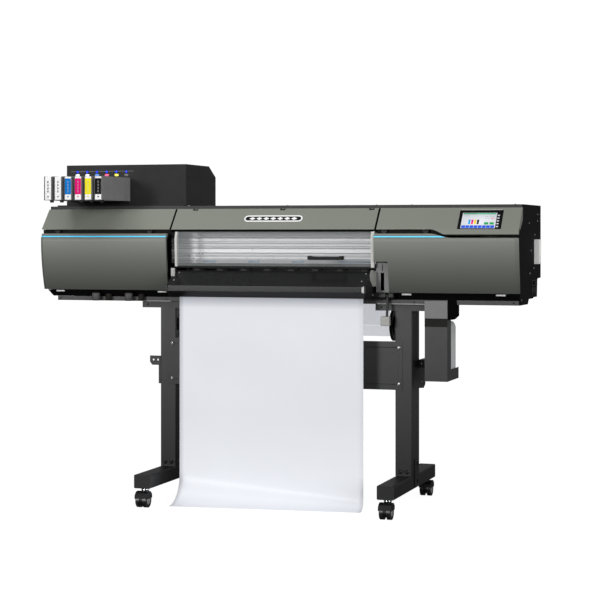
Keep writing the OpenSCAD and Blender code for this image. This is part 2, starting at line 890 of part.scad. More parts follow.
module blade_holder() {
    color([0.75, 0.75, 0.76])
    translate([cutter_x, blade_y, 0]) {
        translate([0, 0, 950])
            cylinder(h = 98, r = blade_r);
        translate([0, 0, 946])
            cylinder(h = 4.01, r1 = 1.5, r2 = 5);
        translate([0, 0, 1036])
            cylinder(h = 12, r = blade_r + 3);
    }
}

// Flat loop around the two pulleys' axes
module belt_outline(r) {
    translate([pulley_x[0], pulley_y - r])
        square([pulley_x[1] - pulley_x[0], 2 * r]);
    for (x = pulley_x)
        translate([x, pulley_y])
            circle(r);
}

module belt_drive() {
    color([0.1, 0.1, 0.1]) {
        translate([0, 0, belt_z[0]])
            linear_extrude(belt_z[1] - belt_z[0])
                difference() {
                    belt_outline(pulley_r + 0.4 + belt_t);
                    belt_outline(pulley_r + 0.4);
                }
        // Idler on the left and its bracket
        translate([pulley_x[0], pulley_y, belt_z[0] - 1])
            cylinder(h = belt_z[1] - belt_z[0] + 2, r = pulley_r);
        translate([pulley_x[0], pulley_y, guide_z[1]])
            cylinder(h = 6, r = 5);
        // Motor on the right, above its pulley
        difference() {
            block([pulley_x[1] - 30, 0, 1130], [pulley_x[1] + 30, 60, 1180]);
            translate([pulley_x[1], pulley_y, 1129])
                cylinder(h = 20, r = 4 + run_gap);
        }
        difference() {
            block([pulley_x[1] - 34, 40, guide_z[1]], [pulley_x[1] + 34, 56, 1130.01]);
            block([pulley_x[1] - 26, 38, guide_z[1] + 4], [pulley_x[1] + 26, 58, 1127]);
        }
    }
}

module drive_pulley() {
    color([0.7, 0.7, 0.7])
    translate([pulley_x[1], pulley_y, 0]) {
        translate([0, 0, belt_z[0] - 1])
            cylinder(h = belt_z[1] - belt_z[0] + 2, r = pulley_r);
        translate([0, 0, belt_z[1]])
            cylinder(h = 20, r = 4);
    }
}

module capping_station() {
    floor_z = rail_z + rail_h + skin_t;
    color([0.2, 0.2, 0.2])
    difference() {
        union() {
            block([carriage_x - 90, -82, floor_z], [carriage_x + 90, -10, 915]);
            block([carriage_x - 62, -82, 914], [carriage_x + 62, -44, platen_z]);
        }
        for (i = [0:1])
            block([carriage_x - 54 + i * 57, -78, 930], [carriage_x - 3 + i * 57, -48, platen_z + 1]);
    }
}

module apron_cover() {
    path = [[-115, 950], [-213, 890], [-213, 867], [-183, 843]];
    x0 = frame_x[0] + frame_t + 1;
    color([0.12, 0.12, 0.13])
        along_x(x0, frame_x[1] - 1)
            polygon(bent_sheet(path, skin_t));
}

module lever_panel() {
    slot_x = 459;
    color([0.4, 0.4, 0.4])
    difference() {
        block([cover_right, -96, door_foot_z], [cutout_x - 1, -93, cutout_z]);
        block([slot_x - 7, -97, 874], [slot_x + 7, -91, 945]);
        block([slot_x - 1.5, -97, 954], [slot_x + 1.5, -91, 978]);
    }
}

module loading_lever() {
    color([0.07, 0.07, 0.07]) {
        difference() {
            union() {
                rod_x(lever_x - 5.5, lever_x + 5.5, lever_pin, 7.5);
                hull() {
                    translate([lever_x - 4, lever_pin[0] - 5, lever_pin[1] - 4])
                        cube([8, 8, 4]);
                    translate([lever_x - 4, -124, 768])
                        cube([8, 8, 4]);
                }
            }
            rod_x(lever_x - 6, lever_x + 6, lever_pin, lever_pin_r + run_gap);
        }
    }
    color([0.6, 0.6, 0.58])
        translate([lever_x - 6, -120, 0])
            translate([0, 0, 735])
                linear_extrude(36)
                    round_rect(36, 20, 4);
}

// ---------------------------------------------------------------- touch screen

screen_x = [768, 941];
screen_len = 98;

// Block on the slope, from below to above the panel's face
module screen_block(margin, low, high) {
    translate([0, slope_foot[0], slope_foot[1]])
        rotate([slope_tilt, 0, 0])
            translate([screen_x[0] - margin, 2 - margin, low])
                cube([screen_x[1] - screen_x[0] + 2 * margin, screen_len + 2 * margin, high - low]);
}

module touch_screen() {
    color([0.05, 0.05, 0.06])
        screen_block(0, -9, 1.5);
}

// ---------------------------------------------------------------- film and media roll

module film_sheet() {
    r_front = front_bend_r + film_gap;
    r_back = back_bend_r + film_gap;
    path = concat([[back_bend[0] + r_back, roll_axis[1]]], arc_points(back_bend, r_back, 0, 90, 14),
        arc_points(front_bend, r_front, 90, 180, 14), [[front_bend[0] - r_front, 500]],
        arc_points([film_y - curl_r, curl_r + 1.5], curl_r, 0, -90, 14),
        [[film_y - curl_r - 14, 1.5]]);
    color([0.93, 0.94, 0.96])
        along_x(film_x, film_x + film_w)
            polygon(bent_sheet(path, -film_t));
}

module media_roll() {
    color([0.92, 0.93, 0.95])
    difference() {
        rod_x(film_x, film_x + film_w, roll_axis, roll_r);
        rod_x(film_x - 1, film_x + film_w + 1, roll_axis, 25.4);
    }
}

module roll_spindle() {
    left = leg_x[0] + leg_w / 2 + 0.5;
    right = leg_x[1] - leg_w / 2 - 0.5;
    color([0.06, 0.06, 0.06])
    union() {
        rod_x(left, right, roll_axis, spindle_r);
        for (s = [0, 1]) {
            x = s == 0 ? film_x - 12 : film_x + film_w + 1;
            rod_x(x, x + 11, roll_axis, 69);
        }
        rod_x(film_x - 1.5, film_x + 60, roll_axis, 25.3);
        rod_x(film_x + film_w - 60, film_x + film_w + 1.5, roll_axis, 25.3);
        rod_x(film_x + film_w + 12, film_x + film_w + 22, roll_axis, 40);
    }
}

// Arms from the legs back to the media roll's spindle
module roll_supports() {
    y = roll_axis[0];
    arm = [[-60, 700], [-60, 752], [y - 33, 746], [y - 17, 750], [y + 17, 750], [y + 29, 738],
        [y + 29, 698], [y + 15, 688], [y - 33, 690]];
    color([0.15, 0.15, 0.15])
        for (x = [leg_x[0] + leg_w / 2 + 1, leg_x[1] - leg_w / 2 - 6])
            difference() {
                union() {
                    along_x(x, x + 5)
                        polygon(arm);
                    block([x - 1, leg_front + 20, 704], [x + 6, leg_front + leg_d - 10, 748]);
                }
                rod_x(x - 2, x + 7, roll_axis, spindle_r + run_gap);
            }
}

// ---------------------------------------------------------------- ink

function tray_x(i) = tray_right - tray_w - (tray_count - i) * tray_pitch;

module ink_cabinet() {
    ink_right = ink_left + ink_w;
    base_z = body_top + ink_base_t;
    chamfer = [84, 46];
    wall = 3;
    shell = [[ink_front, base_z], [ink_front, total_h], [back_y - 2 - chamfer[0], total_h],
        [back_y - 2, total_h - chamfer[1]], [back_y - 2, base_z]];
    core = [[ink_front + wall, base_z + wall], [ink_front + wall, total_h - wall],
        [back_y - 3 - chamfer[0], total_h - wall], [back_y - 2 - wall, total_h - chamfer[1] - 1],
        [back_y - 2 - wall, base_z + wall]];
    color([0.2, 0.2, 0.2]) {
        difference() {
            along_x(ink_left, ink_right)
                polygon(shell);
            along_x(ink_left + wall, ink_right - wall)
                polygon(core);
            for (i = [1:tray_count])
                block([tray_x(i) - 0.5, ink_front - 1, tray_z - 0.5],
                    [tray_x(i) + tray_w + 0.5, ink_front + wall + 1, tray_z + tray_h + 0.5]);
        }
        // Shelf that the trays slide on
        block([ink_left + wall, ink_front + wall, tray_z - 4], [ink_right - wall, 200, tray_z - 0.6]);
        // Base plate on the body's top
        block([ink_left - 28, -18, body_top], [ink_right, back_y - 4, base_z]);
    }
}

// Tray with its ink pouch; it pulls out to the front
module ink_tray(i) {
    x = tray_x(i);
    wall = 1.5;
    tail = 150;
    color([0.43, 0.43, 0.43])
    difference() {
        block([x, tray_front, tray_z], [x + tray_w, tail, tray_z + tray_h]);
        block([x + wall, tray_front - 1, tray_z + wall],
            [x + tray_w - wall, tail - wall, tray_z + tray_h + 1]);
    }
    color([0.95, 0.95, 0.95])
        block([x + tray_w - 4 - pouch_w, tray_front + 1, tray_z + wall],
            [x + tray_w - 4, tail - 20, tray_z + tray_h - 2]);
}

module bottle_holder() {
    x0 = holder_x[0];
    x1 = holder_x[1];
    y0 = holder_y[0];
    y1 = holder_y[1];
    floor_z = 515;
    box_top = 790;
    hood_top = 835;
    color([0.35, 0.35, 0.35]) {
        // Front panel with its left side and the rim of the foot tray
        difference() {
            block([x0, y0, floor_z], [x1, y1, box_top]);
            block([x0 + 2, y0 + 2, floor_z + 3], [x1 - 2, y1 - 2, box_top + 1]);
            block([x1 - 3, y0 + 66, holder_rim_z], [x1 + 1, y1 + 1, box_top + 1]);
            block([x0 + 10, y1 - 3, floor_z + 3], [x1 - 5, y1 + 1, holder_rim_z + 1]);
            block([x0 + 10, y1 - 3, holder_rim_z], [x1 + 1, y1 + 1, box_top + 1]);
            block([x0 - 1, y0 + 60, 600], [x0 + 3, y1 - 30, box_top + 1]);
        }
        // Hood: the front goes on up in front of the base rail, with short cheeks behind it
        block([x0, y0, box_top - 2], [x1, y0 + 2, hood_top]);
        for (x = [x0, x1 - 2])
            block([x, y0, box_top - 2], [x + 2, leg_front - 1, rail_z - 1]);
        // Hanger to the base rail
        along_x(x1 - 3, x1)
            polygon([[y0, rail_z], [78, rail_z], [90, 786], [60, 768], [y0, 768]]);
    }
}

module drain_bottle() {
    w = 70;
    depth = 140;
    h = 228;
    neck_h = 18;
    shoulders = [[-w / 2, 0], [w / 2, 0], [w / 2, h - 26], [w / 2 - 4, h - 13], [w / 2 - 12, h - 3],
        [w / 2 - 18, h], [18 - w / 2, h], [12 - w / 2, h - 3], [4 - w / 2, h - 13], [-w / 2, h - 26]];
    color([0.85, 0.86, 0.86])
    translate([bottle_mid[0], bottle_mid[1], 518.5]) {
        intersection() {
            linear_extrude(h)
                round_rect(w, depth, 12);
            along_y(-depth / 2 - 1, depth / 2 + 1)
                polygon(shoulders);
        }
        translate([0, 0, h - 0.1])
            cylinder(h = neck_h, r = 22);
    }
}

// ---------------------------------------------------------------- right end

module vent_block() {
    fins = 5;
    y0 = 223;
    y1 = 270;
    fin_t = 3;
    pitch = (y1 - y0 - fin_t) / (fins - 1);
    color([0.8, 0.8, 0.78]) {
        block([body_right, y0, 978], [body_right + 5, y1, 1078]);
        for (i = [0:fins - 1])
            block([body_right + 4.9, y0 + i * pitch, 978],
                [body_right + vent_proud, y0 + i * pitch + fin_t, 1078]);
    }
}

module power_socket() {
    color([0.04, 0.04, 0.04]) {
        difference() {
            block([body_right - 24, 165.5, 889.5], [body_right + 1.5, 244.5, 913.5]);
            block([body_right - 18, 182, 893], [body_right + 2, 228, 910]);
        }
        for (y = [195, 205, 215])
            block([body_right - 19, y - 1, 899], [body_right - 8, y + 1, 904]);
        difference() {
            block([body_right - 24, 165.5, 860.5], [body_right + 1.5, 244.5, 883.5]);
            block([body_right - 18, 188, 863], [body_right + 2, 222, 881]);
        }
        rod_y(187, 223, [body_right - 6, 872], 2);
    }
}

module power_switch() {
    color([0.1, 0.1, 0.1])
    difference() {
        along_y(189, 221)
            polygon([[body_right - 12, 865], [body_right - 1, 864.5], [body_right, 872],
                [body_right + 3, 879], [body_right - 12, 879]]);
        rod_y(188, 222, [body_right - 6, 872], 2 + run_gap);
    }
}

// ---------------------------------------------------------------- nodes

foot(leg_x[0]);  // left_foot
foot(leg_x[1]);  // right_foot
leg(leg_x[0], -1);  // left_leg
leg(leg_x[1], 1);  // right_leg
cross_panel();
stand_fittings();
for (i = [1:4]) {
    caster_fork(i);
    caster_wheels(i);
}
base_rail();
under_tray();
left_side_panel();
right_side_panel();
rear_panel();
top_panel();
left_upper_panel();
right_upper_panel();
left_door();
right_door();
front_cover();
cover_window();
cover_frame();
cover_handle();
inner_frames();
platen();
guide_rail();
grit_roller();
pinch_arms();
pinch_rollers();
print_carriage();
cutting_carriage();
blade_holder();
belt_drive();
drive_pulley();
capping_station();
apron_cover();
lever_panel();
loading_lever();
touch_screen();
media_roll();
roll_spindle();
roll_supports();
film_sheet();
ink_cabinet();
for (i = [1:tray_count])
    ink_tray(i);
bottle_holder();
drain_bottle();
vent_block();
power_socket();
power_switch();
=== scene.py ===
import math

import bpy
import bmesh
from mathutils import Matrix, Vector


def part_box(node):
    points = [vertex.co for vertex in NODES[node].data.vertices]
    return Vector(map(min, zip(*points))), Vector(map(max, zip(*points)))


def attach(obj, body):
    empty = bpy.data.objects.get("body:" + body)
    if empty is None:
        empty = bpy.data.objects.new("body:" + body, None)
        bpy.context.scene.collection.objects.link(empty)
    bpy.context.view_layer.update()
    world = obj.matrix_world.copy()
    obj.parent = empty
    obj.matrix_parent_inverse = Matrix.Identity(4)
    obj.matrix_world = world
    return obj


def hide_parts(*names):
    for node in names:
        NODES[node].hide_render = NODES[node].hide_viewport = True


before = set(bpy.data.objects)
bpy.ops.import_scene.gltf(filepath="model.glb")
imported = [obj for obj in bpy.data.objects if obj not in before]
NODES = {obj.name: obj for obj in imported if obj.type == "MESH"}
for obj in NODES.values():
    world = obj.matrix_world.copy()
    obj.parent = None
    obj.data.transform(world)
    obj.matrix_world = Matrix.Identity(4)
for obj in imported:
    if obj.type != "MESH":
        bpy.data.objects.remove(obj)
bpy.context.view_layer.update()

# Wide-format printer cutter: looks, small parts and film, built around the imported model.
# Sizes and places are in millimetres in the row frame, and MM turns them into metres.
MM = 0.001
SCENE = bpy.context.scene


# ---------- places taken from the frame

def low(name):
    """Lowest corner of a CAD node, in millimetres."""
    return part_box(name)[0] / MM


def high(name):
    """Highest corner of a CAD node, in millimetres."""
    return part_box(name)[1] / MM


def mix(a, b, t):
    """Value between a and b at share t."""
    return a + (b - a) * t


BODY_LEFT = low("left_side_panel").x
BODY_RIGHT = high("right_side_panel").x
BACK_Y = high("rear_panel").y
BODY_TOP = high("top_panel").z
LEFT_DOOR_END = high("left_door").x
RIGHT_DOOR_END = low("right_door").x
COVER_LEFT = low("front_cover").x
COVER_RIGHT = high("front_cover").x
WINDOW_FOOT_Z = low("cover_window").z

# Points on the sections of the doors and of the sloped panels, as (y, z)
CREASE = Vector((low("left_door").y, 1081))
DOOR_TOP = Vector((CREASE.x + 10, CREASE.y + 21))
DOOR_BEVEL = 14
SLOPE_FOOT = Vector((-114, 1119))
SLOPE_TOP = Vector((-38.6, 1205))
SLOPE_UP = (SLOPE_TOP - SLOPE_FOOT).normalized()
SLOPE_OUT = Vector((-SLOPE_UP.y, SLOPE_UP.x))

# Directions in the row frame
FORWARD = (0, -1, 0)
UP = (0, 0, 1)
ACROSS = Vector((1, 0, 0))
UP_SLOPE = Vector((0, *SLOPE_UP))

# Fronts of the guide rail and of its upper step, the under tray, the window and the ink cabinet, as y
RAIL_FRONT = 20
RAIL_STEP_FRONT = 24
PAN_FRONT = -86
WINDOW_FRONT = -114
CABINET_FRONT = 15


# ---------- materials

def linear(*values):
    """Linear colour from display values between 0 and 255. One value makes a grey."""
    shares = [value / 255 for value in (values * 3 if len(values) == 1 else values)]
    return (*(c / 12.92 if c <= 0.04045 else ((c + 0.055) / 1.055) ** 2.4 for c in shares), 1.0)


def feed(tree, socket, value):
    """Sets a socket to a constant, or links another node's output to it."""
    if isinstance(value, (int, float, tuple)):
        socket.default_value = value
    else:
        tree.links.new(value, socket)


def node(tree, kind, **inputs):
    """New shader node with its named inputs set or linked. An underscore in a name stands for a space."""
    made = tree.nodes.new(kind)
    for key, value in inputs.items():
        feed(tree, made.inputs[key.replace("_", " ")], value)
    return made


def noise(tree, scale, detail=3.0, stretch=(1, 1, 1)):
    """Noise over the object's own coordinates."""
    coords = node(tree, "ShaderNodeTexCoord")
    mapping = node(tree, "ShaderNodeMapping", Vector=coords.outputs["Object"], Scale=stretch)
    made = node(tree, "ShaderNodeTexNoise", Vector=mapping.outputs["Vector"], Scale=scale, Detail=detail)
    return made.outputs["Fac"]


def remap(tree, value, out_low, out_high, in_low=0.3, in_high=0.7):
    """Takes a value from one range to another. The default first range is the useful part of a noise."""
    made = node(tree, "ShaderNodeMapRange", Value=value, From_Min=in_low, From_Max=in_high, To_Min=out_low,
                To_Max=out_high)
    return made.outputs["Result"]


def blend(tree, factor, first, second, mode="MIX"):
    """Mix of two colours, each a constant or the output of a node."""
    made = tree.nodes.new("ShaderNodeMix")
    made.data_type = "RGBA"
    made.blend_type = mode
    feed(tree, made.inputs["Factor"], factor)
    feed(tree, made.inputs[6], first)
    feed(tree, made.inputs[7], second)
    return made.outputs[2]


def place(tree):
    """X, Y and Z of a point in the row frame, in metres."""
    coords = node(tree, "ShaderNodeTexCoord")
    return node(tree, "ShaderNodeSeparateXYZ", Vector=coords.outputs["Object"]).outputs


def calculate(tree, operation, *values):
    """Result of one arithmetic step on constants or outputs of nodes."""
    made = tree.nodes.new("ShaderNodeMath")
    made.operation = operation
    for socket, value in zip(made.inputs, values):
        feed(tree, socket, value)
    return made.outputs[0]


def between(tree, value, lowest, highest):
    """1 where a place in metres lies between two places in millimetres, and 0 elsewhere."""
    return calculate(tree, "COMPARE", value, (lowest + highest) / 2 * MM, (highest - lowest) / 2 * MM)


def scaled(colour, share):
    """Darker or lighter colour, at most white."""
    return tuple(min(1.0, c * share) for c in colour[:3]) + (1.0,)


def new_material(name):
    """Material, its node tree and its shader."""
    mat = bpy.data.materials.new(name)
    mat.use_nodes = True
    return mat, mat.node_tree, mat.node_tree.nodes["Principled BSDF"]


# The groove's painted shade, and the y and z ranges where the doors' hinges lie at rest, which are painted
# with it
GROOVE_SHADE = linear(24, 24, 23)
HINGE_SHADE_ZONE = {"y": (-113.9, -90), "z": (1100.8, 1118.8)}
COAT_ROUGHNESS = 0.2


def surface(name, colour, roughness=0.5, metallic=0.0, tint=0.06, tint_scale=18.0, grain=900.0, bump=0.12,
            grain_depth=0.0002, stretch=(1, 1, 1), rough_var=0.08, coat=0.0, specular=0.5, fade=None,
            glow=0.0, alpha=1.0, hinges=False):
    """Procedural finish: a slow drift of the colour, a fine grain in height and an uneven gloss.
    fade is (low z, high z, colour at the low end), for paint that is darker lower down: painted shade on the
    doors and the stand, and a painted shadow on the film.
    hinges paints the door hinges in the groove with the groove's painted shade.
    glow is light the surface gives off: real on the ink lamps and the screen, painted light on the film,
    roll, vent, blue trim and colour spots."""
    mat, tree, shader = new_material(name)
    drift = remap(tree, noise(tree, tint_scale, stretch=stretch), 0.0, 1.0)
    base = blend(tree, drift, scaled(colour, 1 - tint), scaled(colour, 1 + tint))
    if fade:
        height = remap(tree, place(tree)["Z"], 0.0, 1.0, fade[0] * MM, fade[1] * MM)
        base = blend(tree, height, fade[2], base)
    # Painted shade: the door hinges in the groove take the groove's dark colour
    if hinges:
        at = place(tree)
        in_y = between(tree, at["Y"], *HINGE_SHADE_ZONE["y"])
        in_z = between(tree, at["Z"], *HINGE_SHADE_ZONE["z"])
        base = blend(tree, calculate(tree, "MULTIPLY", in_y, in_z), base, GROOVE_SHADE)
    fine = noise(tree, grain, detail=2.0, stretch=stretch)
    height_map = node(tree, "ShaderNodeBump", Strength=bump, Distance=grain_depth, Height=fine)
    values = {
        "Base Color": base, "Metallic": metallic, "Specular IOR Level": specular, "Coat Weight": coat,
        "Coat Roughness": COAT_ROUGHNESS, "Alpha": alpha, "Normal": height_map.outputs["Normal"],
        "Roughness": remap(tree, fine, roughness - rough_var, roughness + rough_var),
    }
    if glow:
        values.update({"Emission Color": colour, "Emission Strength": glow})
    for key, value in values.items():
        feed(tree, shader.inputs[key], value)
    return mat


def brushed(name, colour, roughness, metallic=0.6):
    """Metal with long fine lines along X."""
    return surface(name, colour, roughness=roughness, metallic=metallic, tint=0.04, tint_scale=900.0,
                   grain=1400.0, bump=0.15, grain_depth=0.00008, stretch=(0.02, 1, 1), rough_var=0.07)


# Lower edge of each band on the front of the guide rail, and its grey from 0 to 255. The bands mix the rail's
# drawn bands with painted highlights, reflections and shade.
RAIL_BANDS_AND_PAINTED_LIGHT = [(960, 76), (966, 144), (978, 134), (992, 176), (998, 214), (1004, 150), (1007, 196),
              (1022, 240), (1037, 140), (1039.6, 212), (1048, 140), (1049.8, 212), (1059, 146),
              (1060.8, 218), (1081, 104), (1084, 150), (1096, 176)]
RAIL_TOP = 1110
BRUSHING_SHARE = 0.35


def rail_finish():
    """Anodised beam whose drawn bands lie at their own heights, mixed with painted highlights, reflections
    and shade.
    """
    mat = brushed("aluminium", linear(224, 224, 225), 0.38, metallic=0.15)
    tree = mat.node_tree
    base = tree.nodes["Principled BSDF"].inputs["Base Color"]
    bottom = RAIL_BANDS_AND_PAINTED_LIGHT[0][0]
    height = remap(tree, place(tree)["Z"], 0.0, 1.0, bottom * MM, RAIL_TOP * MM)
    ramp = node(tree, "ShaderNodeValToRGB", Fac=height)
    ramp.color_ramp.interpolation = "CONSTANT"
    stops = ramp.color_ramp.elements
    while len(stops) > 1:
        stops.remove(stops[-1])
    for i, (z, grey) in enumerate(RAIL_BANDS_AND_PAINTED_LIGHT):
        stop = stops[0] if i == 0 else stops.new((z - bottom) / (RAIL_TOP - bottom))
        stop.color = linear(grey, grey, grey + 1)
    brushing = base.links[0].from_socket
    feed(tree, base, blend(tree, BRUSHING_SHARE, ramp.outputs["Color"], brushing, "MULTIPLY"))
    return mat


def clear_sheet(name):
    """Thin clear plastic: mostly see-through, with faint smears in its gloss."""
    mat, tree, shader = new_material(name)
    shader.inputs["Base Color"].default_value = linear(232, 238, 240)
    shader.inputs["Alpha"].default_value = 0.1
    shader.inputs["Specular IOR Level"].default_value = 0.6
    feed(tree, shader.inputs["Roughness"], remap(tree, noise(tree, 9.0, stretch=(1, 1, 0.3)), 0.03, 0.1))
    return mat


# Painted glow of the hanging film and of its foot near the floor, which lightens them as if lit, as shares of
# the painted glow behind the stand, and where the foot passes into the front, and where the rear part lies
FILM_PAINTED_GLOW = {"front": 0.4, "foot": 0.56}
FILM_FOOT_Z = (60, 380)
FILM_REAR_Y = (100, 500)


def film_finish(name):
    """Translucent white film: a faint cool mottle, a soft gloss, a painted glow that lightens its shaded
    parts, and a painted shadow of the apron, dark and bluish above the platen's edge.
    """
    colour = linear(206, 208, 213)
    # glow is painted light on the film; fade paints the apron's shadow, dark and bluish above 850 mm and gone
    # by 800 mm
    mat = surface(name, colour, roughness=0.42, tint=0.012, tint_scale=4.0, grain=260.0, bump=0.03,
                  rough_var=0.05, alpha=0.93, glow=0.7, fade=(850, 800, linear(108, 114, 128)))
    tree = mat.node_tree
    at = place(tree)
    height = remap(tree, at["Z"], 0.0, 1.0, *(z * MM for z in FILM_FOOT_Z))
    hanging = blend(tree, height, scaled(colour, FILM_PAINTED_GLOW["foot"]), scaled(colour, FILM_PAINTED_GLOW["front"]))
    glow = blend(tree, between(tree, at["Y"], *FILM_REAR_Y), hanging, colour)
    feed(tree, tree.nodes["Principled BSDF"].inputs["Emission Color"], glow)
    return mat


COVER_GREY = linear(131, 134, 125)
DOOR_GREY = linear(120, 123, 116)
# Painted shade that the doors' paint fades to towards their bottom
DOOR_SHADE_GREY = linear(80, 83, 78)

# Finish of each slot, by its name
FINISHES = {"aluminium": rail_finish(), "window": clear_sheet("window"), "film": film_finish("film")}


def finish(name, colour, **settings):
    """Adds the finish of a slot."""
    FINISHES[name] = surface(name, colour, **settings)


# The stand's paint fades to painted shade from 800 mm down to 150 mm
finish("stand_paint", linear(68, 68, 69), roughness=0.45, grain=1500.0, bump=0.25, specular=0.25,
       fade=(150, 800, linear(22, 22, 23)))
finish("frame_black", linear(26, 26, 27), roughness=0.4, bump=0.1, specular=0.3)
finish("cover_paint", COVER_GREY, roughness=0.45, metallic=0.15, tint=0.05, tint_scale=700.0,
       grain=1800.0, bump=0.08, specular=0.3, hinges=True)
# The door paint fades to painted shade from 1070 mm down to 868 mm
finish("door_paint", DOOR_GREY, roughness=0.48, metallic=0.15, tint=0.05, tint_scale=700.0,
       grain=1800.0, bump=0.08, specular=0.3, fade=(868, 1070, DOOR_SHADE_GREY), hinges=True)
finish("body_black", linear(7, 7, 8), roughness=0.65, grain=1300.0, bump=0.3, specular=0.08)
finish("black_plastic", linear(14, 14, 15), roughness=0.45, grain=1100.0, bump=0.2, specular=0.25)
finish("gloss_black", linear(29, 29, 30), roughness=0.26, bump=0.03, coat=0.04, rough_var=0.04,
       specular=0.2, fade=(868, 872, linear(3)))
finish("grey_plastic", linear(196, 196, 192), roughness=0.45, tint=0.03)
finish("tray_grey", linear(130), roughness=0.42, grain=1200.0, bump=0.15)
finish("caster_black", linear(16, 16, 17), roughness=0.35, grain=500.0, bump=0.2)
finish("roller_rubber", linear(52, 52, 53), roughness=0.7, grain=800.0, bump=0.3)
finish("bottle", linear(222, 224, 225), roughness=0.36, tint=0.03, bump=0.05, alpha=0.88)
finish("screen", linear(9, 9, 10), roughness=0.3, bump=0.01, rough_var=0.03, specular=0.15)
FINISHES["steel"] = brushed("steel", linear(176, 178, 181), 0.3)

# The blue trim is no lamp: its glow is painted light
BLUE_TRIM = surface("blue_trim", linear(70, 200, 245), roughness=0.3, tint=0.02, bump=0.02, glow=0.35)
BRONZE_TRIM = surface("bronze_trim", linear(122, 106, 95), roughness=0.6, bump=0.02, specular=0.2)
# Dark grey: the own colour of the rubber stops, the window's seal and the cabinet's screws, and painted shade
# in the groove, the rail's holes and the bottle holder's band
DARK_GREY_AND_SHADE = surface("dark_grey_and_painted_shade", linear(30, 30, 28), roughness=0.7, bump=0.2, specular=0.15)
LEVER_GREY = surface("lever_grey", linear(112), roughness=0.45, bump=0.1)
HOOD_GREY = surface("hood_grey", linear(106), roughness=0.45, bump=0.1)
# Near-black: the own black of the under tray, the cover's seals, the bracket's box and the valve cover, and
# painted shade behind the left gap and atop the lever's panel
BLACK_AND_SHADE = surface("black_and_painted_shade", linear(5), roughness=0.8, bump=0.2, specular=0.04)
CABINET_GREY = surface("cabinet_grey", linear(47), roughness=0.6, grain=1300.0, bump=0.3, specular=0.1)
TOP_GREY = surface("top_grey", linear(58, 58, 57), grain=1300.0, bump=0.2, specular=0.2)
LIP_GREY = surface("lip_grey", linear(178, 180, 172), bump=0.05)
# Light grey: the own colour of the lever's knob and the cover's catch, and painted light on the lever's side
# plate, the bracket's top and the base rail's edge
KNOB_GREY_AND_PAINTED_LIGHT = surface("knob_grey_and_painted_light", linear(162, 162, 158), roughness=0.4, bump=0.1)
# White vent block with a painted glow that lightens it in the body's shade
VENT_WHITE_GLOW = surface("vent_white_painted_glow", linear(246, 246, 244), tint=0.02, glow=0.12)
# The roll's glow is painted light that lightens it in the shade behind the film
ROLL_WHITE_GLOW = surface("roll_white_painted_glow", linear(236, 238, 243), tint=0.015, bump=0.03, glow=0.6)
RUBBER_GREY = surface("rubber_grey", linear(70), roughness=0.55, bump=0.2)
CHROME = surface("chrome", linear(226, 228, 230), roughness=0.16, metallic=0.95, tint=0.02,
                 bump=0.02, rough_var=0.03)
WHITE_CARD = surface("white_card", linear(244), roughness=0.55, tint=0.015, bump=0.03)
GREY_PRINT = surface("grey_print", linear(120, 120, 122), roughness=0.6, tint=0.02, bump=0.02)
LED_BLUE = surface("led_blue", linear(30, 60, 255), roughness=0.2, tint=0.02, bump=0.01, glow=1.4)
PALE_BLUE = surface("pale_blue_mark", linear(128, 150, 176), tint=0.03, bump=0.02)
INK_COLOURS = [
    ("white_a", linear(246)),
    ("white_b", linear(246)),
    ("cyan", linear(0, 118, 202)),
    ("magenta", linear(226, 0, 116)),
    ("yellow", linear(244, 232, 30)),
    ("black", linear(8, 8, 9)),
]


# ---------- mesh helpers, in millimetres

def block(bm, p, q):
    """Box between two corners."""
    xs, ys, zs = [sorted(pair) for pair in zip(p, q)]
    corners = [bm.verts.new((x, y, z)) for x in xs for y in ys for z in zs]
    for face in ((0, 1, 3, 2), (4, 6, 7, 5), (0, 4, 5, 1), (2, 3, 7, 6), (0, 2, 6, 4), (1, 5, 7, 3)):
        bm.faces.new([corners[i] for i in face])


def skin(bm, rings, capped=True):
    """Skin over closed rings of vertices, with a cap at each end. A ring may also be a single point."""
    count = max(len(ring) for ring in rings)
    for first, second in zip(rings, rings[1:]):
        for i in range(count):
            j = (i + 1) % count
            corners = [first[i % len(first)], first[j % len(first)]]
            corners += [second[j % len(second)], second[i % len(second)]]
            bm.faces.new(list(dict.fromkeys(corners)))
    if capped:
        bm.faces.new(rings[0])
        bm.faces.new(rings[-1])


def prism_x(bm, outline, x0, x1, shift=0):
    """Solid from a [y, z] outline between x0 and x1. shift moves its far end along y."""
    skin(bm, [[bm.verts.new((x, y + dy, z)) for y, z in outline] for x, dy in ((x0, 0), (x1, shift))])


def frame_axes(axis):
    """The axis and two directions that make a right-handed set with it."""
    axis = Vector(axis).normalized()
    side = Vector((0, 0, 1)) if abs(axis.z) < 0.9 else Vector((1, 0, 0))
    u = side.cross(axis).normalized()
    return axis, u, axis.cross(u)


def lathe(bm, profile, centre, axis, steps=24):
    """Solid of revolution from (radius, distance along the axis) points. A radius of 0 is one point."""
    axis, u, v = frame_axes(axis)
    rings = []
    for radius, along in profile:
        middle = Vector(centre) + axis * along
        angles = [math.tau * i / steps for i in range(steps if radius else 1)]
        rings.append([bm.verts.new(middle + (u * math.cos(a) + v * math.sin(a)) * radius) for a in angles])
    skin(bm, rings, capped=False)


def socket_screw(bm, centre, axis, r, h=None):
    """Button head with a round socket."""
    h = h or r * 0.55
    lathe(bm, [(0, -1.0), (r, -1.0), (r, h * 0.25), (r * 0.9, h * 0.62), (r * 0.66, h * 0.92), (r * 0.48, h),
               (r * 0.42, h * 0.4), (0, h * 0.4)], centre, axis, steps=16)


def pill_outline(w, h, steps=8):
    """Outline of a bar with round ends, about its centre, in two dimensions."""
    r = h / 2
    points = []
    for side in (1, -1):
        for i in range(steps + 1):
            a = math.pi * (i / steps - side / 2)
            points.append((side * (w / 2 - r) + r * math.cos(a), r * math.sin(a)))
    return points


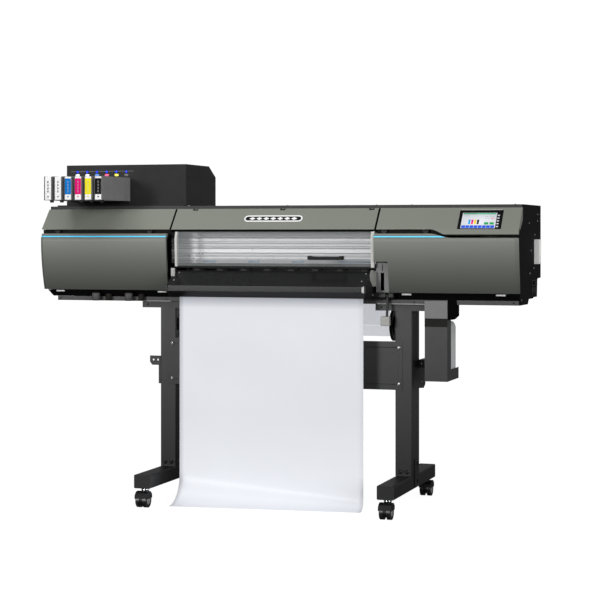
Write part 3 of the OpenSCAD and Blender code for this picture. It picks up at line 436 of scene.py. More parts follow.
def plate(bm, outline, origin, across, up, thick):
    """Flat plate from a two-dimensional outline on the axes across and up, thick along their normal."""
    across, up, origin = Vector(across), Vector(up), Vector(origin)
    out = across.cross(up).normalized()
    skin(bm, [[bm.verts.new(origin + across * a + up * b + out * lift) for a, b in outline]
              for lift in (0, thick)])


def rect(w, h):
    """Outline of a rectangle about its centre."""
    return [(-w / 2, -h / 2), (w / 2, -h / 2), (w / 2, h / 2), (-w / 2, h / 2)]


def shade_smooth(mesh):
    """Smooth shading on every face."""
    mesh.polygons.foreach_set("use_smooth", [True] * len(mesh.polygons))


def soften(obj, width, angle=35, segments=2, weld=False):
    """Rounds the edges of a piece, in millimetres, and evens out its shading."""
    if weld:
        obj.modifiers.new("weld", "WELD").merge_threshold = 0.01 * MM
    bevel = obj.modifiers.new("soft_edges", "BEVEL")
    bevel.width = width * MM
    bevel.segments = segments
    bevel.limit_method = "ANGLE"
    bevel.angle_limit = math.radians(angle)
    even = obj.modifiers.new("even_normals", "WEIGHTED_NORMAL")
    even.keep_sharp = False


def add_object(name, data):
    """New object in the scene."""
    obj = bpy.data.objects.new(name, data)
    SCENE.collection.objects.link(obj)
    return obj


def piece(name, build, body, slot, material=None, edge=0.3):
    """Mesh piece made by build(bm) in millimetres. It rides on a body."""
    bm = bmesh.new()
    build(bm)
    bmesh.ops.recalc_face_normals(bm, faces=bm.faces)
    bmesh.ops.scale(bm, vec=(MM, MM, MM), verts=bm.verts)
    mesh = bpy.data.meshes.new(name)
    bm.to_mesh(mesh)
    bm.free()
    shade_smooth(mesh)
    obj = add_object(name, mesh)
    mesh.materials.append(material or FINISHES[slot])
    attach(obj, body)
    if edge:
        soften(obj, edge)
    return obj


# ---------- CAD nodes: finishes and softened edges

# Width of the softened edges of a node, and of the nodes that differ from a thin sheet
THIN_SHEET_EDGE = 0.5
NODE_EDGES = {
    "left_door": 1.2, "right_door": 1.2, "front_cover": 1.0, "left_upper_panel": 1.2,
    "right_upper_panel": 1.2, "left_foot": 1.5, "right_foot": 1.5, "left_leg": 1.5, "right_leg": 1.5,
    "loading_lever": 1.2, "ink_cabinet": 1.5, "print_carriage": 1.5, "cutting_carriage": 1.2,
    "cover_frame": 1.5, "drain_bottle": 2.0, "touch_screen": 1.0, "capping_station": 1.2,
    "film_sheet": 0.0, "cover_window": 0.4,
}

# Finish of the nodes that don't take the one of their slot
NODE_FINISHES = {
    "vent_block": VENT_WHITE_GLOW, "media_roll": ROLL_WHITE_GLOW, "lever_panel": LEVER_GREY, "under_tray": BLACK_AND_SHADE,
    "ink_cabinet": CABINET_GREY, "top_panel": TOP_GREY, "stand_fittings": FINISHES["stand_paint"],
    "loading_lever": FINISHES["black_plastic"], "pinch_arms": FINISHES["black_plastic"],
}


def finish_cad_nodes():
    """Gives every CAD node its procedural finish, and rounds its edges with modifiers."""
    for name, obj in NODES.items():
        for slot in obj.material_slots:
            slot.material = NODE_FINISHES.get(name) or FINISHES[slot.material.name.split(".")[0]]
        width = NODE_EDGES.get(name, THIN_SHEET_EDGE)
        shade_smooth(obj.data)
        if width:
            soften(obj, width, weld=True)


# ---------- doors and top

def door_front(z):
    """Front of a door at height z, on the flat above its crease."""
    return mix(CREASE.x, DOOR_TOP.x, (z - CREASE.y) / (DOOR_TOP.y - CREASE.y))


def trim_outline(z0, z1, proud):
    """Section of a thin trim that lies on the flat above the crease."""
    sunk, slant = 0.3, 0.2
    return [(door_front(z0) + sunk, z0), (door_front(z0) - proud, z0 + slant),
            (door_front(z1) - proud, z1 - slant), (door_front(z1) + sunk, z1)]


# Where the right door's upper edge swoops down, and the height it reaches
SWOOP_X = (655, 751)
GROOVE_LOW_Z = 1085


def swoop_z(x):
    """Upper edge of the right door at x."""
    t = min(max((x - SWOOP_X[0]) / (SWOOP_X[1] - SWOOP_X[0]), 0), 1)
    return mix(DOOR_TOP.y, GROOVE_LOW_Z, (1 - math.cos(math.pi * t)) / 2)


def left_trim(z0, z1, proud):
    """Trim along the left door and round its bevelled end."""
    def build(bm):
        outline = trim_outline(z0, z1, proud)
        prism_x(bm, outline, BODY_LEFT + DOOR_BEVEL, LEFT_DOOR_END - 0.3)
        prism_x(bm, outline, BODY_LEFT + DOOR_BEVEL, BODY_LEFT + 0.4, shift=DOOR_BEVEL - 2)
    return build


def right_trim(z0, z1, proud):
    """Trim that narrows to nothing where the door's edge swoops down through it."""
    gap, least = 0.6, 0.5

    def build(bm):
        sections = []
        for x in (RIGHT_DOOR_END + 0.3, *range(SWOOP_X[0], SWOOP_X[1], 2)):
            top = min(z1, swoop_z(x) - gap)
            if top <= z0 + least:
                break
            sections.append([bm.verts.new((x, y, z)) for y, z in trim_outline(z0, top, proud)])
        skin(bm, sections)
    return build


TRIM_Z = (1086.9, 1092.5)
TRIM_BASE_Z = (1084.6, 1094.8)


def door_trims():
    """Blue line along each door, on a slightly wider bronze one."""
    for side, make in (("left", left_trim), ("right", right_trim)):
        body = side + "_door"
        piece(side + "_trim_base", make(*TRIM_BASE_Z, 0.4), body, "door_paint", BRONZE_TRIM, edge=0)
        piece(side + "_blue_trim", make(*TRIM_Z, 0.9), body, "door_paint", BLUE_TRIM, edge=0.15)


def groove_shade_liners():
    """Dark strips of painted shade that close the groove between the doors and the upper panels."""
    spans = {"left": (BODY_LEFT + 0.6, COVER_LEFT - 4), "right": (COVER_RIGHT + 4, BODY_RIGHT - 5)}
    outline = [(-96, 1118.5), (-96, 1109), (-92, 1094), (-90, 1094), (-90, 1118.5)]
    for side, (x0, x1) in spans.items():
        def build(bm):
            prism_x(bm, outline, x0, x1)
        piece(side + "_groove_shade_liner", build, "root", "black_plastic", DARK_GREY_AND_SHADE)


def slope_point(x, along, out=0.0):
    """Point on the sloped panels, from the slope's foot."""
    yz = SLOPE_FOOT + SLOPE_UP * along + SLOPE_OUT * out
    return Vector((x, yz.x, yz.y))


def emblem():
    """Plain generic badge on the front cover: a bright ring round a dark bar with bright lozenges."""
    centre = slope_point(-8, 58)
    length, height, rim, pitch = 252, 34, 6, 30
    outer = pill_outline(length, height)
    inner = pill_outline(length - 2 * rim, height - 2 * rim)
    fitted = pill_outline(length - 2 * rim + 0.6, height - 2 * rim + 0.6)
    lozenge = [(-13, 0), (0, -8), (13, 0), (0, 8)]

    def ring(bm):
        out = ACROSS.cross(UP_SLOPE).normalized()
        rings = []
        for outline, lift in ((outer, -0.3), (outer, 2.2), (inner, 2.2), (inner, -0.3)):
            rings.append([bm.verts.new(centre + ACROSS * a + UP_SLOPE * b + out * lift) for a, b in outline])
        skin(bm, rings + rings[:1], capped=False)

    def bar(bm):
        plate(bm, fitted, centre, ACROSS, UP_SLOPE, 0.9)

    def lozenges(bm):
        for k in range(-3, 4):
            plate(bm, [(a + pitch * k, b) for a, b in lozenge], centre, ACROSS, UP_SLOPE, 1.8)

    piece("badge_ring", ring, "front_cover", "steel", WHITE_CARD, edge=0.5)
    piece("badge_bar", bar, "front_cover", "gloss_black")
    piece("badge_lozenges", lozenges, "front_cover", "steel", WHITE_CARD, edge=0.2)


def pan_fittings():
    """Blank labels under the lower corners of the doors, and rubber buffers and stops on the left."""
    buffer = [(0, 820.6), (14.5, 820.6), (16.6, 823), (16.6, 851.5), (14.8, 853.4), (0, 853.4)]
    stop = [(0, 822), (10, 822), (13, 826), (13, 844), (9, 850), (0, 850)]

    def labels(bm):
        for x in (-958, -494, 556, 937):
            block(bm, (x - 19, PAN_FRONT - 0.6, 856), (x + 19, PAN_FRONT + 0.2, 862.5))

    def buffers(bm):
        for x in (-783, -634):
            lathe(bm, buffer, (x, PAN_FRONT - 25, 0), UP, steps=28)

    def stops(bm):
        for x in (-728, -579):
            lathe(bm, stop, (x, PAN_FRONT - 20, 0), UP)
            block(bm, (x - 7, PAN_FRONT - 20, 838), (x + 7, PAN_FRONT + 0.4, 846))

    piece("door_foot_labels", labels, "root", "grey_plastic", WHITE_CARD, edge=0)
    piece("pan_buffers", buffers, "root", "roller_rubber", RUBBER_GREY, edge=0)
    piece("pan_stops", stops, "root", "roller_rubber", DARK_GREY_AND_SHADE, edge=0.8)


def top_screws():
    """Screws along the front and back edges of the top panel."""
    rows = {-10: (-404, 32, 411, 560, 980), BACK_Y - 30: (-380, -120, 140, 400, 660, 920)}

    def build(bm):
        for y, spots in rows.items():
            for x in spots:
                socket_screw(bm, (x, y, BODY_TOP), UP, 4)
    piece("top_screws", build, "root", "steel")


# ---------- touch screen

SCREEN_X = (low("touch_screen").x, high("touch_screen").x)
SCREEN_FACE = 1.5
# The screen's lower and upper edges, from the slope's foot
SCREEN_ALONG = (2, 100)


def touch_screen():
    """Lit panel with a generic page of blocks: a header, four level bars, buttons and a side menu."""
    lit_x = (SCREEN_X[0] + 12, SCREEN_X[0] + 150)
    menu_x = (lit_x[1], SCREEN_X[1] - 8)
    base, top = SCREEN_ALONG[0] + 2, SCREEN_ALONG[1] - 15

    def shapes(items, lift):
        def build(bm):
            for x0, x1, a0, a1 in items:
                centre = slope_point((x0 + x1) / 2, (a0 + a1) / 2, SCREEN_FACE - 0.2)
                plate(bm, rect(x1 - x0, a1 - a0), centre, ACROSS, UP_SLOPE, 0.2 + lift)
        return build

    def lit(name, rgb, items, lift, strength=0.3):
        """Glowing blocks of one colour from their (x0, x1, along0, along1) extents."""
        glass = surface(name, linear(*rgb), roughness=0.4, tint=0.02, bump=0.01, glow=strength, specular=0.2)
        piece(name, shapes(items, lift), "root", "screen", glass, edge=0)

    x0, x1 = lit_x
    lit("screen_page", (200, 202, 208), [(x0, x1, base, top)], 0.15, 0.45)
    lit("screen_header", (48, 176, 128), [(x0 + 3, x1 - 3, top - 8, top - 2)], 0.3)
    lit("screen_header_bar", (20, 140, 90), [(x0 + 4, x0 + 58, top - 7, top - 3)], 0.4)
    for k, rgb in enumerate(((30, 150, 220), (225, 20, 120), (240, 205, 20), (25, 25, 28))):
        left = x0 + 28 + 11.5 * k
        lit("screen_level_%d" % (k + 1), rgb, [(left, left + 8, base + 21, base + 45)], 0.35)
    buttons = [(x0 + left, x0 + left + 17, base + 19, base + 31) for left in (92, 114)]
    lit("screen_buttons_green", (26, 160, 84), buttons, 0.35)
    tiles = [(x0 + 3 + 16.6 * k, x0 + 18 + 16.6 * k, base + 1, base + 15) for k in range(8)]
    lit("screen_tiles_blue", (30, 84, 214), tiles, 0.35)
    rules = [(x0 + 6, x0 + 30, top - 16, top - 14.5), (x0 + 92, x0 + 108, top - 22, top - 20.5),
             (x0 + 92, x0 + 108, top - 30, top - 28.5), (x0 + 112, x0 + 132, top - 22, top - 20.5)]
    lit("screen_rules", (150, 152, 160), rules, 0.3, 0.5)
    lit("screen_marks_red", (220, 110, 100), [(x0 + 116, x0 + 130, top - 32, top - 29)], 0.3)
    step = (top - base - 8) / 5
    icons = [(menu_x[0] + 3, menu_x[1] - 3, base + 6 + step * k, base + 12 + step * k) for k in range(5)]
    lit("screen_menu_icons", (190, 192, 196), icons, 0.2, 0.4)

    def lip(bm):
        centre = slope_point((SCREEN_X[0] + SCREEN_X[1]) / 2, SCREEN_ALONG[1] + 2.2, -0.3)
        plate(bm, rect(SCREEN_X[1] - SCREEN_X[0] - 6, 3), centre, ACROSS, UP_SLOPE, 1.0)
    piece("screen_lip", lip, "root", "cover_paint", LIP_GREY)


# ---------- front cover and what shows behind it

def cover_details():
    """Seals round the window and the cover's ends, dark caps that fill its notches with painted shade, and
    the feet of its handle.
    """
    window_x = (low("cover_window").x, high("cover_window").x)
    handle_x = (163, 296)

    def seals(bm):
        block(bm, (window_x[0] - 4, WINDOW_FRONT - 1.5, WINDOW_FOOT_Z - 6),
              (window_x[1] + 4, WINDOW_FRONT + 3.6, WINDOW_FOOT_Z + 2))

    def top_seal(bm):
        block(bm, (COVER_LEFT + 4, WINDOW_FRONT - 0.6, 1110), (COVER_RIGHT - 4, WINDOW_FRONT + 5, 1118))

    # Dark caps that paint the shade inside the cover's notches
    def notch_shades(bm):
        for x in (-361, 21, 400):
            plate(bm, rect(22, 6), slope_point(x, 108.5, -0.7), ACROSS, UP_SLOPE, 0.9)

    def handle_feet(bm):
        for x, inward in zip(handle_x, (1, -1)):
            block(bm, (x - 9, WINDOW_FRONT - 12, 997), (x + 9, WINDOW_FRONT + 0.1, 1012))
            block(bm, (x - 6.5, WINDOW_FRONT - 22, 999), (x + 6.5, WINDOW_FRONT - 10, 1011))
            block(bm, (x + inward * 6, WINDOW_FRONT - 24, 1000),
                  (x + inward * 20, WINDOW_FRONT - 15, 1010))

    def end_seals(bm):
        for x0, x1 in ((COVER_LEFT - 3.8, COVER_LEFT + 3.4), (COVER_RIGHT - 3.4, COVER_RIGHT + 3.8)):
            centre = slope_point((x0 + x1) / 2, 56, -0.6)
            plate(bm, rect(x1 - x0, 112), centre, ACROSS, UP_SLOPE, 0.9)

    piece("cover_seals", seals, "front_cover", "roller_rubber", DARK_GREY_AND_SHADE)
    piece("cover_top_seal", top_seal, "front_cover", "roller_rubber", BLACK_AND_SHADE)
    piece("cover_end_seals", end_seals, "front_cover", "roller_rubber", BLACK_AND_SHADE, edge=0)
    piece("cover_notch_shades", notch_shades, "front_cover", "black_plastic", edge=0.2)
    piece("handle_feet", handle_feet, "front_cover", "black_plastic", edge=1.5)


def guide_rail_details():
    """Lines, screws, holes and pale marks on the front of the guide rail."""
    x0, x1 = COVER_LEFT + 8, COVER_RIGHT - 6
    screw_pitch = 59.4
    hole_spots = [(-413, 1008), (-380, 1008), (-368, 1018), (-354, 1018), (-394, 997), (-413, 987),
                  (-400, 987), (-380, 987)]

    def lines(bm):
        for z, h in ((1058.9, 1.3), (1048, 1.3), (1009.8, 1.2), (995, 1.2)):
            block(bm, (x0, RAIL_FRONT - 0.25, z), (x1, RAIL_FRONT + 0.5, z + h))

    def screws(bm):
        for k in range(11):
            socket_screw(bm, (-276 + screw_pitch * k, RAIL_FRONT - 0.1, 998), FORWARD, 3.0, 0.7)
        for x in (-133, 308):
            socket_screw(bm, (x, RAIL_STEP_FRONT - 0.1, 1036), FORWARD, 3.0, 0.7)

    def marks(bm):
        for a, b in ((-350, -294), (-151, -103), (41, 93), (240, 380)):
            block(bm, (a, RAIL_FRONT - 0.3, 981.5), (b, RAIL_FRONT + 0.4, 989))

    def holes(bm):
        disc = [(0, -0.2), (2.4, -0.2), (2.4, 0.25), (0, 0.25)]
        for x, z in hole_spots:
            lathe(bm, disc, (x, RAIL_FRONT, z), FORWARD, steps=12)

    piece("guide_rail_lines", lines, "root", "steel", GREY_PRINT, edge=0)
    piece("guide_rail_screws", screws, "root", "steel", edge=0)
    piece("guide_rail_marks", marks, "root", "grey_plastic", PALE_BLUE, edge=0)
    # Dark discs of painted shade in the rail's holes
    piece("guide_rail_holes", holes, "root", "black_plastic", DARK_GREY_AND_SHADE, edge=0)


def opening_details():
    """Catch, clip and screws at the ends of the film's opening, a dark sheet of painted shade behind its left
    gap, and the side plate of the lever's panel, lighter grey as painted light, and its cap, a black strip of
    painted shade."""
    panel_lo, panel_hi = low("lever_panel"), high("lever_panel")
    side_outline = [(-150, 938), (-138, 954), (-113.4, 956), (-97, 956), (-97, 890), (-111, 890),
                    (-150, 916)]
    apron_out = Vector((0, -60, 98)).normalized()
    apron_screws = ((-400, -131, 934), (-404, -181, 905), (400, -131, 934), (396, -181, 905))

    def catch(bm):
        block(bm, (-426, -158, 926), (-410, -149, 960))
        block(bm, (-422, -160, 932), (-414, -157.5, 954))

    # Dark sheet of painted shade behind the gap left of the cover
    def shade_sheet(bm):
        block(bm, (LEFT_DOOR_END - 16, -96, 940), (COVER_LEFT - 1, -94, 1098))

    def clip(bm):
        block(bm, (411, -216.5, 866), (415.5, -203, 893))
        block(bm, (406, -216.5, 868), (411.2, -213.2, 890))

    def screws(bm):
        for x, y, z in apron_screws:
            socket_screw(bm, (x, y + 1.2, z + 7), apron_out, 3.2, 1.4)
        for x in (-440, 425):
            socket_screw(bm, (x, -118, 857), FORWARD, 3)

    def side_plate(bm):
        prism_x(bm, side_outline, 422.1, 423.3)
        block(bm, (423, panel_lo.y - 0.3, 890), (panel_lo.x + 0.6, panel_lo.y + 1.4, 952))

    # Black strip of painted shade along the top of the lever's panel, under the cut-out's edge
    def panel_shade_strip(bm):
        block(bm, (panel_lo.x, panel_lo.y - 0.4, panel_hi.z - 4),
              (panel_hi.x, panel_lo.y + 0.8, panel_hi.z + 0.2))

    # Lighter grey than the lever's panel: painted light on the side plate
    piece("lever_side_plate", side_plate, "root", "grey_plastic", KNOB_GREY_AND_PAINTED_LIGHT)
    piece("lever_panel_shade_strip", panel_shade_strip, "root", "black_plastic", BLACK_AND_SHADE, edge=0)
    piece("cover_catch", catch, "root", "grey_plastic", KNOB_GREY_AND_PAINTED_LIGHT, edge=1.0)
    piece("left_bay_shade_sheet", shade_sheet, "root", "black_plastic", BLACK_AND_SHADE)
    piece("film_clip", clip, "root", "grey_plastic", edge=0.8)
    piece("opening_screws", screws, "root", "steel", edge=0)


# ---------- film

ROLL_LOW, ROLL_HIGH = low("media_roll"), high("media_roll")
ROLL_AXIS = ((ROLL_LOW.y + ROLL_HIGH.y) / 2, (ROLL_LOW.z + ROLL_HIGH.z) / 2)
FILM_X = (ROLL_LOW.x, ROLL_HIGH.x)
FILM_THICK = 0.4
FILM_FLOOR_Z = 1.6

# Centre y, centre z and radius of the film's bends, then radius and flat tail of its curl at each edge
REAR_BEND = (148, 848, 91.1)
FRONT_BEND = (-95, 858, 81.1)
CURL_LEFT = (116, 10)
CURL_RIGHT = (44, 6)


def arc(centre, radius, start, end, steps):
    """Points on an arc in [y, z], with angles in degrees."""
    points = []
    for i in range(1, steps + 1):
        a = math.radians(mix(start, end, i / steps))
        points.append((centre[0] + radius * math.cos(a), centre[1] + radius * math.sin(a)))
    return points


def line(p, q, steps):
    """Points on a straight line, without its first one."""
    return [(mix(p[0], q[0], i / steps), mix(p[1], q[1], i / steps)) for i in range(1, steps + 1)]


def film_path(curl_r, tail):
    """The film's way from the roll, over the platen, down in front of the stand and out along the floor."""
    rear_y, rear_z, rear_r = REAR_BEND
    front_y, front_z, front_r = FRONT_BEND
    drop_y = front_y - front_r
    path = [(rear_y + rear_r, ROLL_AXIS[1])]
    path += line(path[-1], (rear_y + rear_r, rear_z), 6)
    path += arc((rear_y, rear_z), rear_r, 0, 90, 14)
    path += line(path[-1], (front_y, front_z + front_r), 8)
    path += arc((front_y, front_z), front_r, 90, 180, 14)
    path += line(path[-1], (drop_y, curl_r + FILM_FLOOR_Z), 40)
    path += arc((drop_y - curl_r, curl_r + FILM_FLOOR_Z), curl_r, 0, -90, 18)
    path += line(path[-1], (drop_y - curl_r - tail, FILM_FLOOR_Z), 2)
    return path


def film():
    """The printed film as one curved sheet. It hangs with a faint wave, and its lower edge lies askew."""
    columns = 40
    width = FILM_X[1] - FILM_X[0]
    hang_top, hang_low = 800, 130
    grid = []
    for c in range(columns + 1):
        t = c / columns
        curl, tail = [mix(left, right, t) for left, right in zip(CURL_LEFT, CURL_RIGHT)]
        path = film_path(curl, tail)
        column = []
        for y, z in path:
            if y < -150 and hang_low < z < hang_top:
                share = math.sin(math.pi * (z - hang_low) / (hang_top - hang_low)) ** 2
                y += share * (1.6 * math.sin(2.1 * t * math.pi + 0.6) + 0.9 * math.sin(5 * t + z / 90))
            column.append((FILM_X[0] + width * t, y, z))
        grid.append(column)

    def build(bm):
        made = [[bm.verts.new(p) for p in column] for column in grid]
        for left, right in zip(made, made[1:]):
            for r in range(len(left) - 1):
                bm.faces.new([left[r], right[r], right[r + 1], left[r + 1]])

    sheet = piece("film", build, "root", "film", edge=0)
    thick = sheet.modifiers.new("thickness", "SOLIDIFY")
    thick.thickness = FILM_THICK * MM
    thick.offset = 0
    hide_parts("film_sheet")


def roll_windings():
    """Edges of the wound film, as fine rings on both ends of the roll."""
    first, pitch, thick, proud = 27, 2.8, 1.4, 0.5
    for name, x, out in (("left", FILM_X[0], -1), ("right", FILM_X[1], 1)):
        def build(bm):
            for k in range(8):
                r0 = first + pitch * k
                lathe(bm, [(r0, 0), (r0, proud), (r0 + thick, proud), (r0 + thick, 0)], (x, *ROLL_AXIS),
                      (out, 0, 0), steps=40)
        piece(name + "_roll_windings", build, "media_roll", "film", WHITE_CARD, edge=0)


# ---------- ink

def ink_tray(number, key, colour):
    """Ink pouch, card label with its coloured field and marks, and tab of one tray."""
    body = "ink_tray_%d" % number
    lo, hi = low(body), high(body)
    x0, x1 = lo.x + 4.6, lo.x + 32.4
    front, back = lo.y + 0.6, hi.y - 19
    z0, z1 = lo.z + 1.6, hi.z - 1.5
    steps, bulge, tuck = 14, 0.9, 1.2

    def pouch(bm):
        rings = []
        for s in range(steps + 1):
            swell = bulge * math.sin(math.pi * s / steps)
            pinch = 0.0 if 0 < s < steps else tuck
            y = mix(front, back, s / steps)
            xa, xb = x0 - swell + pinch, x1 + swell - pinch
            za, zb = z0 + pinch, z1 + swell - pinch
            rings.append([bm.verts.new(p) for p in ((xa, y, za), (xb, y, za), (xb, y, zb), (xa, y, zb))])
        skin(bm, rings)

    def card(bm):
        block(bm, (x0 + 0.2, front - 1.2, z0 + 0.4), (x1 - 0.2, front + 0.4, z1 - 0.4))

    def field(bm):
        block(bm, (x0 + 0.4, front - 1.6, z0 + 22), (x1 - 0.4, front - 1.0, z0 + 88))

    def marks(bm):
        middle = (x0 + x1) / 2
        for k in range(4):
            z = z0 + 30 + 13 * k
            block(bm, (middle - 3, front - 1.9, z), (middle + 3, front - 1.4, z + 9))
        block(bm, (middle - 3.5, front - 1.6, z0 + 10), (middle + 3.5, front - 1.0, z0 + 16))

    def tab(bm):
        block(bm, (lo.x + 8, lo.y + 40, lo.z - 9), (lo.x + 24, lo.y + 46, lo.z + 0.2))

    ink = surface("ink_" + key, colour, roughness=0.6, tint=0.02, bump=0.03, specular=0.1)
    piece("ink_pouch_%d" % number, pouch, body, "grey_plastic", WHITE_CARD, edge=1.6)
    piece("ink_card_%d" % number, card, body, "grey_plastic", WHITE_CARD)
    piece("ink_field_%d" % number, field, body, "grey_plastic", ink, edge=0.2)
    pale_colour = tuple(min(1, c * 0.6 + 0.12) for c in colour[:3]) + (1.0,)
    pale = surface("ink_mark_" + key, pale_colour, tint=0.02, bump=0.02)
    mark_finish = GREY_PRINT if key.startswith("white") else pale
    piece("ink_marks_%d" % number, marks, body, "grey_plastic", mark_finish, edge=0.1)
    piece("ink_tray_tab_%d" % number, tab, body, "black_plastic", edge=0.8)


def ink_trays():
    """What the looks add to every tray."""
    for number, (key, colour) in enumerate(INK_COLOURS, 1):
        ink_tray(number, key, colour)


def cabinet_details():
    """Lamps with bezels, a rule and colour spots above the trays, and the cabinet's screws."""
    centres = [low("ink_tray_%d" % (i + 1)).x + 19 for i in range(len(INK_COLOURS))]
    cabinet_right = high("ink_cabinet").x
    y, lamp_z, spot_z = CABINET_FRONT, 1366, 1352
    lamp = [(0, -1), (4.2, -1), (4.2, 2.4), (3, 4.2), (1.4, 5.0), (0, 5.2)]
    bezel = [(0, -0.5), (6.5, -0.5), (6.5, 0.9), (5.2, 1.3), (0, 1.3)]

    def lamps(bm):
        for x in centres:
            lathe(bm, lamp, (x, y, lamp_z), FORWARD)

    def bezels(bm):
        for x in centres:
            lathe(bm, bezel, (x, y, lamp_z), FORWARD)

    def rule(bm):
        block(bm, (centres[0] - 30, y - 0.8, lamp_z + 1.2), (centres[-1] + 32, y + 0.5, lamp_z + 2.8))

    def screws(bm):
        for x in (low("ink_cabinet").x + 60, -560, -445):
            socket_screw(bm, (x, y, 1236), FORWARD, 3.2)
        for side_y in (60, 200, 340):
            socket_screw(bm, (cabinet_right, side_y, 1240), (1, 0, 0), 3.2)
            socket_screw(bm, (cabinet_right, side_y - 20, 1340), (1, 0, 0), 3.2)

    piece("ink_lamps", lamps, "root", "window", LED_BLUE, edge=0)
    piece("ink_lamp_bezels", bezels, "root", "black_plastic")
    piece("ink_panel_rule", rule, "root", "grey_plastic", GREY_PRINT, edge=0.2)
    piece("ink_cabinet_screws", screws, "root", "steel", DARK_GREY_AND_SHADE, edge=0)
    for number, (x, (key, colour)) in enumerate(zip(centres, INK_COLOURS), 1):
        # The colour spots are stickers: their glow is painted light
        spot = surface("spot_" + key, colour, roughness=0.35, tint=0.02, bump=0.02, glow=0.15)

        def sticker(bm):
            plate(bm, pill_outline(19, 10), (x, y + 0.2, spot_z), ACROSS, UP, 0.9)
        piece("ink_spot_%d" % number, sticker, "root", "grey_plastic", spot, edge=0.2)


# ---------- ends, back and stand

def end_details():
    """Screws on the end panels, and louvres and screws at the back."""
    right_spots = ((299, 1181), (299, 1154), (107, 1144), (236, 1098), (149, 1033), (124, 942), (211, 961),
                   (-60, 840))
    left_spots = ((299, 1181), (107, 1144), (124, 942), (-50, 1000), (330, 960))
    margin, columns = 40, 8
    louvre_x, louvre_w, louvre_z, louvre_pitch = (-900, 620), 240, 1010, 11

    def end_screws(bm):
        for x, out, spots in ((BODY_RIGHT, 1, right_spots), (BODY_LEFT, -1, left_spots)):
            for y, z in spots:
                socket_screw(bm, (x, y, z), (out, 0, 0), 3.4)

    def back_screws(bm):
        for k in range(columns + 1):
            x = mix(BODY_LEFT + margin, BODY_RIGHT - margin, k / columns)
            for z in (935, 1195):
                socket_screw(bm, (x, BACK_Y, z), (0, 1, 0), 3.4)

    def back_louvres(bm):
        for left in louvre_x:
            for k in range(12):
                z = louvre_z + louvre_pitch * k
                section = [(BACK_Y - 0.5, z), (BACK_Y - 0.5, z + 7), (BACK_Y + 3, z + 0.6), (BACK_Y + 3, z)]
                prism_x(bm, section, left, left + louvre_w)

    piece("end_panel_screws", end_screws, "root", "steel", edge=0)
    piece("rear_panel_screws", back_screws, "root", "steel", edge=0)
    piece("rear_louvres", back_louvres, "root", "body_black", edge=0.4)


def stand_details():
    """Bolts and screws of the stand, its bracket's top in lighter grey as painted light, its box and screws,
    and the base rail's edge as a painted highlight.
    """
    leg_x = [(low(leg).x + high(leg).x) / 2 for leg in ("left_leg", "right_leg")]
    leg_front = low("left_leg").y
    leg_right = high("right_leg").x
    holder_left = low("bottle_holder").x
    bolt = [(0, -1), (9, -1), (9, 1.6), (7, 1.6), (6.2, 6.5), (4.8, 7.6), (2.6, 7.6), (2.4, 4.0), (0, 4.0)]
    washer = [(0, 2.6), (6.5, 2.6), (6.5, 3.4), (5.2, 4.8), (3.0, 5.6), (2.4, 5.6), (2.2, 4.4), (0, 4.4)]

    def bolts(bm):
        for x in leg_x:
            for side in (-1, 1):
                socket_screw(bm, (x + side * 90, leg_front, 806), FORWARD, 3.6)
                lathe(bm, bolt, (x + side * 14, leg_front, 150), FORWARD, steps=18)
        for x in (BODY_LEFT + 80, -470, 590, BODY_RIGHT - 24):
            socket_screw(bm, (x, -94, 829), FORWARD, 3.4)

    def panel_screws(bm):
        for x in (leg_x[0] + 19, leg_x[1] - 19):
            for z in (500, 645):
                lathe(bm, washer, (x, leg_front - 2, z), FORWARD, steps=20)

    # Lighter grey top of the bracket: painted light from above
    def bracket_lit_top(bm):
        block(bm, (leg_right - 75.5, 22, 591.8), (leg_right - 31.5, 108, 593.2))

    def bracket_screws(bm):
        for x, y, z, out, r in ((592, 20, 577, FORWARD, 4.2), (612, 20, 574, FORWARD, 3.4),
                                (579, 70, 500, (1, 0, 0), 4.2)):
            socket_screw(bm, (x, y, z), out, r)

    # Light strip on the base rail's lower edge: a painted highlight
    def rail_edge_highlight(bm):
        for x0, x1 in ((-579, -452), (436, holder_left)):
            block(bm, (x0, -94.9, 819.6), (x1, -93.6, 822.4))

    def bracket_box(bm):
        block(bm, (leg_right + 3, 18.6, 560), (holder_left - 0.2, 20.2, 591.8))

    piece("stand_bolts", bolts, "root", "steel", FINISHES["frame_black"], edge=0)
    piece("cross_panel_screws", panel_screws, "root", "steel", CHROME, edge=0)
    piece("bracket_lit_top", bracket_lit_top, "root", "steel", KNOB_GREY_AND_PAINTED_LIGHT)
    piece("bracket_box", bracket_box, "root", "frame_black", BLACK_AND_SHADE)
    piece("bracket_screws", bracket_screws, "root", "steel", edge=0)
    piece("base_rail_edge", rail_edge_highlight, "root", "steel", KNOB_GREY_AND_PAINTED_LIGHT)


